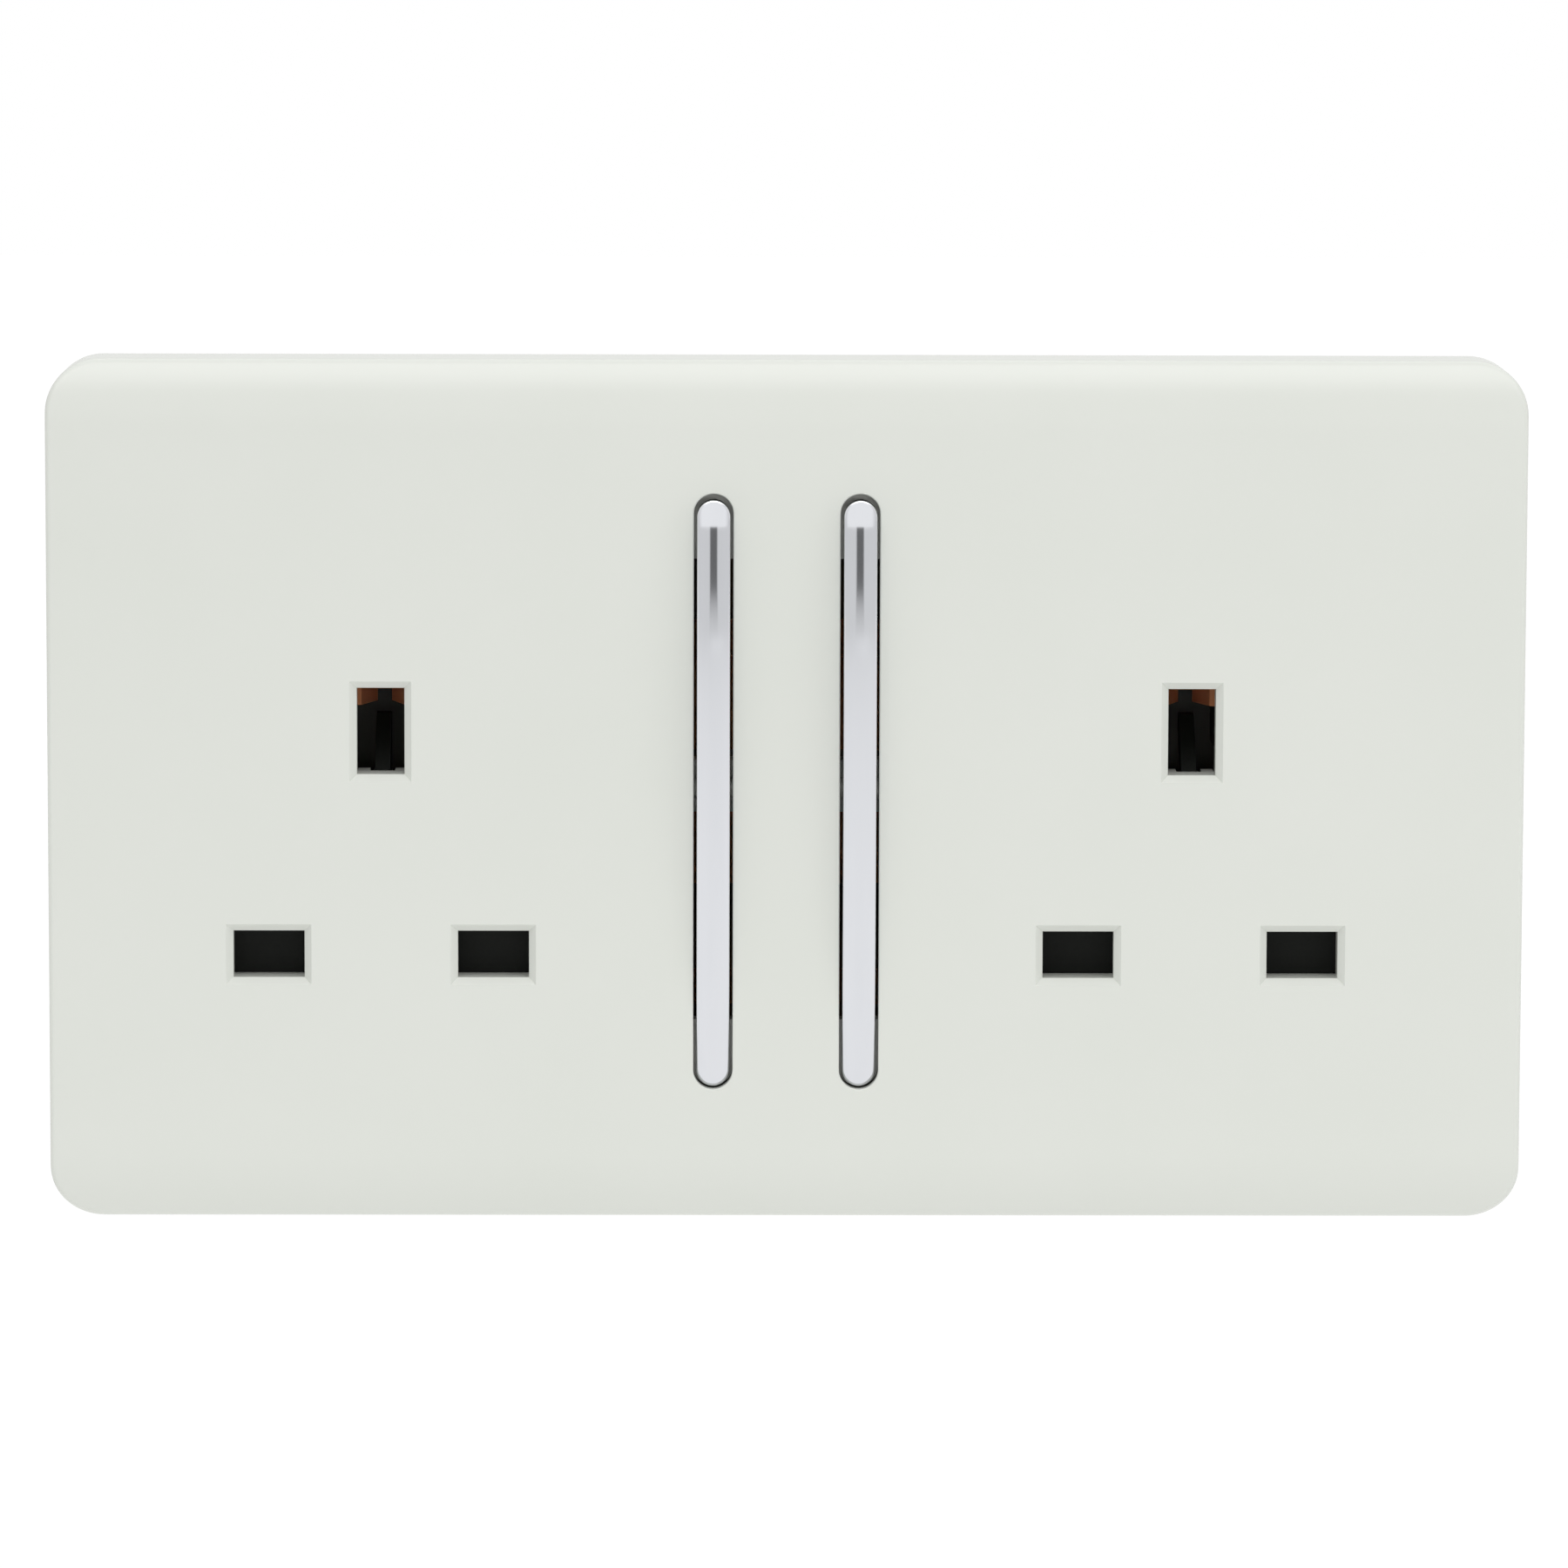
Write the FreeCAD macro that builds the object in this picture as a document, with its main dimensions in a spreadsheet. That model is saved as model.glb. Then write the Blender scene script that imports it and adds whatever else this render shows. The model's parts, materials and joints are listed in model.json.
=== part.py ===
# Twin switched socket outlet with a screwless cover, sprung shutters and two rocker switches.
# Frame: X to the right, Y into the wall, Z up. The origin is on the wall plane, midway between
# the two fixing screws. A level is a height in front of that plane, so a level is minus Y.

import FreeCAD, Part
import Sketcher
import math
import operator
import os
import types

document = FreeCAD.newDocument("TwinSocket")
sheet = document.addObject("Spreadsheet::Sheet", "Sizes")

# Driving dimensions in mm and degrees
SIZES = [
    # cover plate
    ("plate_width", 146.0), ("plate_height", 85.5), ("plate_depth", 9.0), ("plate_corner", 5.25),
    ("plate_wall", 2.2), ("plate_face", 2.4), ("roll_height", 6.75), ("roll_radius", 12.0),
    ("plate_edge", 0.5), ("clip_spacing", 92.0), ("clip_width", 10.0), ("clip_reach", 0.9),
    ("clip_level", 1.0), ("clip_thickness", 1.2), ("clip_root", 0.5),
    # pin apertures
    ("socket_inset", 18.4), ("pin_pitch", 22.23), ("pin_row_drop", 16.2),
    ("line_aperture_width", 7.05), ("line_aperture_height", 4.66),
    ("earth_aperture_width", 4.71), ("earth_aperture_height", 8.59), ("aperture_bevel", 0.7),
    # support frame
    ("frame_gap", 0.35), ("face_gap", 0.2), ("deck_thickness", 2.4), ("frame_wall", 2.0),
    ("aperture_ease", 0.15), ("fixing_spacing", 120.6), ("fixing_hole", 2.0),
    ("fixing_boss", 10.0), ("fixing_sink", 1.8), ("clip_room", 0.35), ("rib_thickness", 1.5),
    ("rib_height", 2.5), ("rib_spacing", 26.0), ("post_width", 5.6), ("pilot_radius", 1.25),
    ("pilot_depth", 10.0), ("pilot_spare", 1.0), ("post_inset", 10.1),
    # rear housing
    ("housing_width", 117.0), ("housing_neck_width", 104.0), ("housing_top", 25.0),
    ("housing_drop", 28.0), ("housing_shoulder", 6.0), ("housing_wall", 1.8),
    ("housing_depth", 18.5), ("housing_floor", 2.0), ("housing_corner", 2.5),
    ("boss_width", 8.2), ("boss_height", 2.5), ("counterbore_depth", 2.2), ("head_room", 0.35),
    ("cheek_thickness", 1.2), ("cheek_length", 7.2), ("cheek_gap", 0.4), ("seat_width", 4.0),
    ("earth_seat", 1.37), ("port_ease", 0.6),
    # rockers
    ("rocker_spacing", 14.46), ("slot_width", 3.9), ("slot_length", 59.3), ("slot_edge", 0.1),
    ("window_width", 4.4), ("window_length", 46.0), ("rocker_throw", 4.4),
    ("pivot_level", 4.8), ("pivot_radius", 1.0), ("pivot_clearance", 0.05),
    ("pivot_length", 8.0), ("pivot_end_room", 0.1),
    ("bearing_start", 2.4), ("bearing_end", 4.6), ("bearing_height", 5.2), ("bearing_drop", 1.4),
    ("trim_width", 3.25), ("rocker_end_gap", 0.35), ("crown_level", 6.4),
    ("crown_radius", 260.0), ("bow_margin", 1.1),
    ("cross_crown_radius", 6.0), ("tip_length", 2.25), ("tip_drop", 0.45), ("trim_seat", 3.0),
    ("carrier_width", 2.7), ("carrier_inset", 6.8), ("carrier_end", 1.1), ("carrier_hub", 5.0),
    ("carrier_hub_depth", 2.0), ("tail_width", 4.2), ("tail_height", 5.2), ("tail_start", 1.2),
    ("tail_end", 8.0), ("plunger_radius", 1.3), ("plunger_clearance", 0.05),
    ("plunger_reach", 11.25), ("plunger_start", 4.2), ("plunger_wire", 0.3),
    ("plunger_turns", 3.0), ("plunger_nose", 0.9),
    # see-saw arms and their contacts
    ("arm_axis_depth", 8.2), ("arm_tilt", 8.6), ("arm_width", 5.0), ("arm_length", 22.4),
    ("arm_thickness", 1.0), ("arm_front", 1.5), ("barrel_radius", 1.2), ("barrel_length", 4.4),
    ("barrel_clearance", 0.05), ("contact_rise", 9.5), ("contact_width", 3.0),
    ("contact_thickness", 0.5), ("contact_gap", 0.15),
    # strips, bars and pin contacts
    ("strip_thickness", 0.8), ("strip_width", 4.0), ("strip_inset", 18.1), ("strip_run_drop", 10.1),
    ("strip_run_width", 2.6), ("neutral_bar_drop", 22.2), ("neutral_bar_width", 3.5),
    ("earth_bar_rise", 13.0), ("earth_bar_width", 3.6), ("cradle_width", 4.0),
    ("cradle_height", 5.0), ("cradle_play", 0.1), ("leaf_thickness", 0.7), ("line_leaf_root", 2.2),
    ("line_leaf_pinch", 1.5), ("line_leaf_mouth", 2.6), ("line_leaf_width", 5.6),
    ("earth_leaf_root", 1.9), ("earth_leaf_pinch", 0.7), ("earth_leaf_mouth", 2.2),
    ("earth_leaf_width", 4.4), ("earth_leaf_rise", 3.9), ("leaf_pinch_depth", 3.8),
    ("leaf_front_level", 0.4),
    # shutters
    ("shutter_gap", 0.3), ("shutter_thickness", 2.0), ("shutter_lap", 0.9),
    ("shutter_height", 5.6), ("stem_width", 1.9), ("stem_clear", 0.2), ("ramp_width", 1.5),
    ("ramp_rise", 5.2), ("ramp_root", 1.6), ("spring_pocket_width", 3.8),
    ("spring_pocket_height", 2.4), ("spring_diameter", 2.4), ("spring_wire", 0.36),
    ("spring_turns", 4.0), ("spring_end_gap", 0.05), ("guide_thickness", 1.2),
    ("guide_length", 10.0), ("guide_clear", 0.15), ("rail_length", 12.0),
    # terminals and screws
    ("terminal_spacing", 40.0), ("terminal_width", 8.0), ("terminal_length", 9.0),
    ("terminal_hole", 5.2), ("terminal_bite", 2.1), ("terminal_screw_radius", 1.75),
    ("terminal_thread_play", 0.05), ("terminal_head_radius", 3.0), ("terminal_head_height", 2.0),
    ("screw_slot", 0.9), ("screw_slot_depth", 0.9), ("assembly_screw_radius", 1.2),
    ("assembly_head_radius", 2.7), ("assembly_head_height", 1.7),
]

for row, (alias, number) in enumerate(SIZES, start=1):
    sheet.set(f"A{row}", alias.replace("_", " "))
    sheet.set(f"B{row}", str(number))
    sheet.setAlias(f"B{row}", alias)
document.recompute()

OPERATIONS = {"+": operator.add, "-": operator.sub, "*": operator.mul, "/": operator.truediv}


class Size:
    """A number in mm or degrees, together with the sheet expression that works it out."""

    def __init__(self, text, number):
        self.text = text
        self.number = number

    def __add__(self, other):
        return combine(self, "+", other)

    def __radd__(self, other):
        return combine(other, "+", self)

    def __sub__(self, other):
        return combine(self, "-", other)

    def __rsub__(self, other):
        return combine(other, "-", self)

    def __mul__(self, other):
        return combine(self, "*", other)

    def __rmul__(self, other):
        return combine(other, "*", self)

    def __truediv__(self, other):
        return combine(self, "/", other)

    def __neg__(self):
        return combine(0, "-", self)


def as_size(value):
    """Turns a plain number into a Size, and leaves a Size as it is."""
    return value if isinstance(value, Size) else Size(repr(float(value)), float(value))


def combine(left, sign, right):
    """Joins two sizes by one operation, in the expression and in the number."""
    left, right = as_size(left), as_size(right)
    return Size(f"({left.text} {sign} {right.text})", OPERATIONS[sign](left.number, right.number))


def root(value):
    """Square root of a size."""
    return Size(f"sqrt({value.text})", math.sqrt(value.number))


def tangent(angle):
    """Tangent of an angle in degrees."""
    return Size(f"tan({angle.text} * 1 deg)", math.tan(math.radians(angle.number)))


def degrees(angle):
    """An angle in radians as degrees."""
    return Size(f"({angle.text} * 180 / pi)", math.degrees(angle.number))


def smaller(left, right):
    """The smaller one of two sizes."""
    return Size(f"min({left.text}; {right.text})", min(left.number, right.number))


size = types.SimpleNamespace(
    **{alias: Size(f"Sizes.{alias}", float(sheet.get(alias))) for alias, number in SIZES}
)

# Places that several pieces share
SIDES = {"left": -1, "right": 1}
COIL_SIDES = 8
SEAT_ANGLE = 45
SHANK_SIDES = 10
half_width = size.plate_width / 2
half_height = size.plate_height / 2
face_inside = size.plate_depth - size.plate_face
deck_front = face_inside - size.face_gap
deck_rear = deck_front - size.deck_thickness
line_row = -size.pin_row_drop
earth_row = line_row + size.pin_pitch
earth_leaf_row = earth_row + size.earth_leaf_rise
half_pitch = size.pin_pitch / 2
socket_half = size.housing_width / 2 - size.socket_inset
strip_turn = socket_half - size.strip_inset
shutter_front = deck_rear - size.shutter_gap
shutter_rear = shutter_front - size.shutter_thickness
housing_back = -size.housing_depth
floor_level = housing_back + size.housing_floor
boss_level = floor_level + size.boss_height
fixed_tip_rise = size.contact_rise + size.contact_width / 2
fixed_tip_level = -(size.arm_axis_depth + fixed_tip_rise * tangent(size.arm_tilt) + size.contact_gap)
strip_front = fixed_tip_level - size.contact_thickness
strip_rear = strip_front - size.strip_thickness
earth_rear = floor_level + size.earth_seat
earth_front = earth_rear + size.strip_thickness
terminal_reach = size.terminal_hole / 2 + size.terminal_bite
block_high = size.housing_top - size.housing_wall
block_low = -(size.housing_drop - size.housing_wall)
rest_tilt = size.rocker_throw / 2
earth_low = earth_row - size.earth_aperture_height / 2
stem_top = earth_low - size.stem_clear
shutter_half = half_pitch + size.line_aperture_width / 2 + size.shutter_lap


def socket_axis(side):
    """X of one outlet's centre line."""
    return SIDES[side] * socket_half


def rocker_axis(side):
    """X of one rocker's centre line."""
    return SIDES[side] * size.rocker_spacing / 2


def post_places():
    """Centres of the two posts that take the assembly screws."""
    return [(sign * (socket_half - size.post_inset), 0) for sign in SIDES.values()]


def aperture_boxes(ease):
    """Left, right, low and high of the six pin apertures, each grown by an ease."""
    boxes = []
    for side in SIDES:
        axis = socket_axis(side)
        for centre in (axis - half_pitch, axis + half_pitch):
            boxes.append((centre - size.line_aperture_width / 2 - ease,
                          centre + size.line_aperture_width / 2 + ease,
                          line_row - size.line_aperture_height / 2 - ease,
                          line_row + size.line_aperture_height / 2 + ease))
        boxes.append((axis - size.earth_aperture_width / 2 - ease,
                      axis + size.earth_aperture_width / 2 + ease,
                      earth_row - size.earth_aperture_height / 2 - ease,
                      earth_row + size.earth_aperture_height / 2 + ease))
    return boxes


def bind(target, path, value):
    """Ties one property of a document object to the sheet."""
    target.setExpression(path, as_size(value).text)


class Outline:
    """A sketch on one of a body's own planes, with every point tied to the sheet."""

    def __init__(self, body, name, role, offset=0):
        plane = next(item for item in body.Origin.OriginFeatures if item.Role == role)
        self.sketch = body.newObject("Sketcher::SketchObject", name)
        self.sketch.AttachmentSupport = (plane, [""])
        self.sketch.MapMode = "FlatFace"
        bind(self.sketch, "AttachmentOffset.Base.z", offset)

    def tie(self, kind, *place, value):
        """Adds one dimension and binds it to the sheet."""
        number = self.sketch.addConstraint(Sketcher.Constraint(kind, *place, value.number))
        bind(self.sketch, f"Constraints[{number}]", value)

    def pin(self, line, end, across, up):
        """Ties a point of the outline to its two coordinates."""
        for kind, value, axis in (("DistanceX", as_size(across), -2), ("DistanceY", as_size(up), -1)):
            if abs(value.number) < 1e-9:
                self.sketch.addConstraint(Sketcher.Constraint("PointOnObject", line, end, axis))
            elif value.number > 0:
                self.tie(kind, -1, 1, line, end, value=value)
            else:
                self.tie(kind, line, end, -1, 1, value=-value)

    def path(self, corners, arcs=None):
        """Closed outline through corners; arcs maps a corner to the radius and centre after it."""
        arcs = arcs or {}
        points = [FreeCAD.Vector(as_size(x).number, as_size(y).number, 0) for x, y in corners]
        ends = []
        for index, start in enumerate(points):
            finish = points[(index + 1) % len(points)]
            if index not in arcs:
                line = self.sketch.addGeometry(Part.LineSegment(start, finish))
                ends.append((line, 1, 2))
                continue
            radius, centre = arcs[index]
            middle = FreeCAD.Vector(as_size(centre[0]).number, as_size(centre[1]).number, 0)
            turn = (start - middle).cross(finish - middle).z
            first, last = (start, finish) if turn > 0 else (finish, start)
            angles = [math.atan2((point - middle).y, (point - middle).x) for point in (first, last)]
            circle = Part.Circle(middle, FreeCAD.Vector(0, 0, 1), radius.number)
            line = self.sketch.addGeometry(Part.ArcOfCircle(circle, *angles))
            ends.append((line, 1, 2) if turn > 0 else (line, 2, 1))
        for index, (line, start, finish) in enumerate(ends):
            following = ends[(index + 1) % len(ends)]
            joint = Sketcher.Constraint("Coincident", line, finish, following[0], following[1])
            self.sketch.addConstraint(joint)
        for (line, start, finish), (x, y) in zip(ends, corners):
            self.pin(line, start, x, y)
        for index, (radius, centre) in arcs.items():
            self.tie("Radius", ends[index][0], value=radius)
        return self

    def rectangle(self, left, right, low, high):
        """Rectangle with square corners."""
        return self.path([(left, low), (right, low), (right, high), (left, high)])

    def square(self, across, up, width):
        """Square by its centre and width."""
        half = width / 2
        return self.rectangle(across - half, across + half, up - half, up + half)

    def rounded(self, half_across, half_up, radius):
        """Rectangle about the origin with round corners."""
        inner_x, inner_y = half_across - radius, half_up - radius
        corners = [(-inner_x, -half_up), (inner_x, -half_up), (half_across, -inner_y),
                   (half_across, inner_y), (inner_x, half_up), (-inner_x, half_up),
                   (-half_across, inner_y), (-half_across, -inner_y)]
        arcs = {1: (radius, (inner_x, -inner_y)), 3: (radius, (inner_x, inner_y)),
                5: (radius, (-inner_x, inner_y)), 7: (radius, (-inner_x, -inner_y))}
        return self.path(corners, arcs)

    def slot(self, across, length, width):
        """Upright slot with round ends, centred on height zero."""
        across, radius = as_size(across), width / 2
        reach = length / 2 - radius
        centres = [FreeCAD.Vector(across.number, sign * reach.number, 0) for sign in (1, -1)]
        up = FreeCAD.Vector(0, 0, 1)
        top = self.sketch.addGeometry(
            Part.ArcOfCircle(Part.Circle(centres[0], up, radius.number), 0, math.pi))
        low = self.sketch.addGeometry(
            Part.ArcOfCircle(Part.Circle(centres[1], up, radius.number), math.pi, 2 * math.pi))
        edges = []
        for sign in (-1, 1):
            step = FreeCAD.Vector(sign * radius.number, 0, 0)
            edges.append(self.sketch.addGeometry(
                Part.LineSegment(centres[0] + step, centres[1] + step)))
        for line, arc_end, low_end in ((edges[0], 2, 1), (edges[1], 1, 2)):
            self.sketch.addConstraint(Sketcher.Constraint("Tangent", top, arc_end, line, 1))
            self.sketch.addConstraint(Sketcher.Constraint("Tangent", low, low_end, line, 2))
        for arc, height in ((top, reach), (low, -reach)):
            self.pin(arc, 3, across, height)
            self.tie("Radius", arc, value=radius)
        return self

    def circle(self, across, up, radius):
        """Circle by its centre and radius."""
        centre = FreeCAD.Vector(as_size(across).number, as_size(up).number, 0)
        ring = self.sketch.addGeometry(
            Part.Circle(centre, FreeCAD.Vector(0, 0, 1), as_size(radius).number))
        self.pin(ring, 3, across, up)
        self.tie("Radius", ring, value=as_size(radius))
        return self

    def axis_line(self, up):
        """Construction line along the first sketch axis, at a height, to revolve about."""
        height = as_size(up).number
        line = self.sketch.addGeometry(
            Part.LineSegment(FreeCAD.Vector(0, height, 0), FreeCAD.Vector(1, height, 0)), True)
        self.pin(line, 1, 0, up)
        self.pin(line, 2, 1, up)
        return self


def new_body(name):
    """An empty body whose label names its file."""
    body = document.addObject("PartDesign::Body", name)
    body.Label = name
    return body


def pad(body, outline, length, both_ways=False):
    """Pads an outline towards the front, or evenly to both sides."""
    feature = body.newObject("PartDesign::Pad", outline.sketch.Name + "_pad")
    feature.Profile = outline.sketch
    feature.Midplane = both_ways
    bind(feature, "Length", length)
    return feature


def pocket(body, outline, depth, forward=False, both_ways=False):
    """Cuts an outline towards the back, or forward, or evenly to both sides."""
    feature = body.newObject("PartDesign::Pocket", outline.sketch.Name + "_cut")
    feature.Profile = outline.sketch
    feature.Reversed = forward
    feature.Midplane = both_ways
    bind(feature, "Length", depth)
    return feature


def dress(body, kind, name, feature, test, amount):
    """Fillets or chamfers the edges of a feature whose bounding boxes pass a test."""
    document.recompute()
    edges = enumerate(feature.Shape.Edges, start=1)
    chosen = [f"Edge{number}" for number, edge in edges if test(edge.BoundBox)]
    finish = body.newObject(f"PartDesign::{kind}", name)
    finish.Base = (feature, chosen)
    bind(finish, "Radius" if kind == "Fillet" else "Size", amount)
    return finish


def place(target, x=0, y=0, z=0, tilt=None):
    """Binds where a piece stands, and its turn about X where it rests tilted."""
    if tilt is not None:
        target.Placement.Rotation = FreeCAD.Rotation(FreeCAD.Vector(1, 0, 0), tilt.number)
        bind(target, "Placement.Rotation.Angle", tilt)
    for name, value in (("x", x), ("y", y), ("z", z)):
        bind(target, f"Placement.Base.{name}", value)


def housing_outline(outline, inset):
    """Outline of the rear housing, wide below its shoulders, drawn in by an inset."""
    wide = size.housing_width / 2 - inset
    neck = size.housing_neck_width / 2 - inset
    low = -size.housing_drop + inset
    top = size.housing_top - inset
    shoulder = -size.housing_shoulder - inset
    return outline.path([(-wide, low), (wide, low), (wide, shoulder), (neck, shoulder), (neck, top),
                         (-neck, top), (-neck, shoulder), (-wide, shoulder)])


def front_plate():
    """Clip-on cover: a face rolled over at top and bottom, hollow behind, with its openings."""
    body = new_body("front_plate")
    flat = half_height - size.roll_height
    roll_centre = size.plate_depth - size.roll_radius
    roll_end = roll_centre + root(size.roll_radius * size.roll_radius
                                  - size.roll_height * size.roll_height)
    profile = Outline(body, "plate_profile", "YZ_Plane").path(
        [(0, -half_height), (0, half_height), (-roll_end, half_height), (-size.plate_depth, flat),
         (-size.plate_depth, -flat), (-roll_end, -half_height)],
        {2: (size.roll_radius, (-roll_centre, flat)), 4: (size.roll_radius, (-roll_centre, -flat))})
    pad(body, profile, size.plate_width, both_ways=True)

    corners = Outline(body, "plate_corners", "XZ_Plane", size.plate_depth)
    corners.rectangle(-size.plate_width, size.plate_width, -size.plate_height, size.plate_height)
    corners.rounded(half_width, half_height, size.plate_corner)
    blank = pocket(body, corners, size.plate_depth)

    def front_edge(box):
        beside = max(box.XMin, -box.XMax) > half_width.number - size.plate_corner.number - 0.01
        above = max(box.ZMin, -box.ZMax) > half_height.number - 0.01
        return box.YMax < 0.01 - roll_end.number and (beside or above)

    dress(body, "Chamfer", "plate_edge_bevel", blank, front_edge, size.plate_edge)
    inside = Outline(body, "plate_inside", "XZ_Plane", face_inside)
    inside.rounded(half_width - size.plate_wall, half_height - size.plate_wall,
                   size.plate_corner - size.plate_wall)
    pocket(body, inside, face_inside)

    openings = Outline(body, "plate_openings", "XZ_Plane", size.plate_depth)
    for box in aperture_boxes(0):
        openings.rectangle(*box)
    for side in SIDES:
        openings.slot(rocker_axis(side), size.slot_length, size.slot_width)
    opened = pocket(body, openings, size.plate_face + size.face_gap)

    def on_face(box):
        return box.YMax < 0.001 - size.plate_depth.number

    edge = half_width.number - size.plate_corner.number

    def aperture_edge(box):
        short = max(box.XLength, box.ZLength) < size.earth_aperture_height.number + 0.1
        inner = abs(box.Center.x) > size.rocker_spacing.number
        return on_face(box) and short and inner and abs(box.Center.x) < edge

    def slot_edge(box):
        narrow = box.XLength < size.slot_width.number + 0.1
        return on_face(box) and narrow and abs(box.Center.x) < size.rocker_spacing.number

    bevelled = dress(body, "Chamfer", "aperture_bevels", opened, aperture_edge, size.aperture_bevel)
    dress(body, "Chamfer", "slot_bevels", bevelled, slot_edge, size.slot_edge)

    clips = Outline(body, "plate_clips", "XZ_Plane", size.clip_level)
    wall_inside = half_height - size.plate_wall
    for sign in (-1, 1):
        middle = sign * size.clip_spacing / 2
        left, right = middle - size.clip_width / 2, middle + size.clip_width / 2
        clips.rectangle(left, right, wall_inside - size.clip_reach, wall_inside + size.clip_root)
        clips.rectangle(left, right, -wall_inside - size.clip_root, -wall_inside + size.clip_reach)
    pad(body, clips, size.clip_thickness)
    return body


def support_frame():
    """Moulded frame behind the cover: deck, rim, housing skirt, bearings, rails and posts."""
    body = new_body("support_frame")
    outer_x = half_width - size.plate_wall - size.frame_gap
    outer_z = half_height - size.plate_wall - size.frame_gap
    corner = size.plate_corner - size.plate_wall - size.frame_gap
    block = Outline(body, "frame_block", "XZ_Plane").rounded(outer_x, outer_z, corner)
    pad(body, block, deck_front)
    hollow = Outline(body, "frame_hollow", "XZ_Plane", deck_rear)
    hollow.rounded(outer_x - size.frame_wall, outer_z - size.frame_wall, size.frame_wall / 2)
    pocket(body, hollow, deck_rear)

    skirt = Outline(body, "frame_skirt", "XZ_Plane")
    housing_outline(skirt, 0)
    housing_outline(skirt, size.housing_wall)
    pad(body, skirt, deck_rear)

    ribs = Outline(body, "frame_ribs", "XZ_Plane", deck_rear - size.rib_height)
    for step in (-1, 0, 1):
        left = step * size.rib_spacing - size.rib_thickness / 2
        right = left + size.rib_thickness
        ribs.rectangle(left, right, size.housing_top - size.housing_wall / 2,
                       outer_z - size.frame_wall / 2)
        ribs.rectangle(left, right, -outer_z + size.frame_wall / 2,
                       -size.housing_drop + size.housing_wall / 2)
    pad(body, ribs, size.rib_height)

    bosses = Outline(body, "fixing_bosses", "XZ_Plane")
    for sign in (-1, 1):
        bosses.square(sign * size.fixing_spacing / 2, 0, size.fixing_boss)
    pad(body, bosses, deck_rear)
    posts = Outline(body, "frame_posts", "XZ_Plane", boss_level)
    for x, z in post_places():
        posts.square(x, z, size.post_width)
    pad(body, posts, deck_rear - boss_level)

    guides = Outline(body, "shutter_guides", "XZ_Plane", shutter_rear)
    rail_top = line_row + size.shutter_height / 2
    stem_side = size.stem_width / 2 + size.shutter_gap
    for side in SIDES:
        for sign in (-1, 1):
            rail = socket_axis(side) + sign * (shutter_half + size.shutter_gap)
            stem = socket_axis(side) + sign * stem_side
            width = sign * size.guide_thickness
            guides.rectangle(rail, rail + width, rail_top - size.rail_length, rail_top)
            guides.rectangle(stem, stem + width, earth_low - size.guide_clear - size.guide_length,
                             earth_low - size.guide_clear)
    pad(body, guides, size.shutter_gap + size.shutter_thickness)

    bearings = Outline(body, "rocker_bearings", "XZ_Plane", deck_rear - size.bearing_drop)
    for side in SIDES:
        for sign in (-1, 1):
            inner = rocker_axis(side) + sign * size.bearing_start
            outer = rocker_axis(side) + sign * size.bearing_end
            bearings.rectangle(inner, outer, -size.bearing_height / 2, size.bearing_height / 2)
    pad(body, bearings, size.bearing_drop)

    openings = Outline(body, "frame_openings", "XZ_Plane", deck_front)
    for box in aperture_boxes(size.aperture_ease):
        openings.rectangle(*box)
    for side in SIDES:
        left = rocker_axis(side) - size.window_width / 2
        openings.rectangle(left, left + size.window_width, -size.window_length / 2,
                           size.window_length / 2)
    pocket(body, openings, size.deck_thickness)

    groove_half = size.pivot_radius + size.pivot_clearance
    groove_foot = deck_rear - size.bearing_drop
    middle = (-size.pivot_level, 0)
    for side in SIDES:
        groove = Outline(body, f"pivot_groove_{side}", "YZ_Plane", rocker_axis(side))
        groove.path([(-size.pivot_level, -groove_half), (-groove_foot, -groove_half),
                     (-groove_foot, groove_half), (-size.pivot_level, groove_half),
                     (-size.pivot_level - groove_half, 0)],
                    {3: (groove_half, middle), 4: (groove_half, middle)})
        pocket(body, groove, size.pivot_length + 2 * size.pivot_end_room, both_ways=True)

    holes = Outline(body, "fixing_holes", "XZ_Plane", deck_front)
    screw_seats = Outline(body, "screw_seats", "XZ_Plane", deck_front)
    for sign in (-1, 1):
        holes.circle(sign * size.fixing_spacing / 2, 0, size.fixing_hole)
        screw_seats.circle(sign * size.fixing_spacing / 2, 0, size.fixing_hole + size.fixing_sink)
    pocket(body, holes, deck_front)
    countersink = pocket(body, screw_seats, size.fixing_sink)
    countersink.TaperAngle = -SEAT_ANGLE

    pilots = Outline(body, "post_pilots", "XZ_Plane", boss_level)
    for x, z in post_places():
        pilots.circle(x, z, size.pilot_radius)
    pocket(body, pilots, size.pilot_depth, forward=True)

    catches = Outline(body, "clip_windows", "XZ_Plane",
                      size.clip_level + size.clip_thickness + size.clip_room)
    for sign in (-1, 1):
        left = sign * size.clip_spacing / 2 - size.clip_width / 2 - size.clip_room
        right = left + size.clip_width + 2 * size.clip_room
        catches.rectangle(left, right, outer_z - size.frame_wall, outer_z + size.frame_gap)
        catches.rectangle(left, right, -outer_z - size.frame_gap, -outer_z + size.frame_wall)
    pocket(body, catches, size.clip_thickness + 2 * size.clip_room)
    return body


def terminal_places():
    """X, Z and strip faces of the line, neutral and two earth terminals."""
    half = size.terminal_length / 2
    earth_x = size.terminal_spacing / 2
    return {
        "line": (Size("0", 0.0), block_high - half, strip_front, strip_rear),
        "neutral": (Size("0", 0.0), block_low + half, strip_front, strip_rear),
        "earth_left": (-earth_x, block_high - half, earth_front, earth_rear),
        "earth_right": (earth_x, block_high - half, earth_front, earth_rear),
    }


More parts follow.
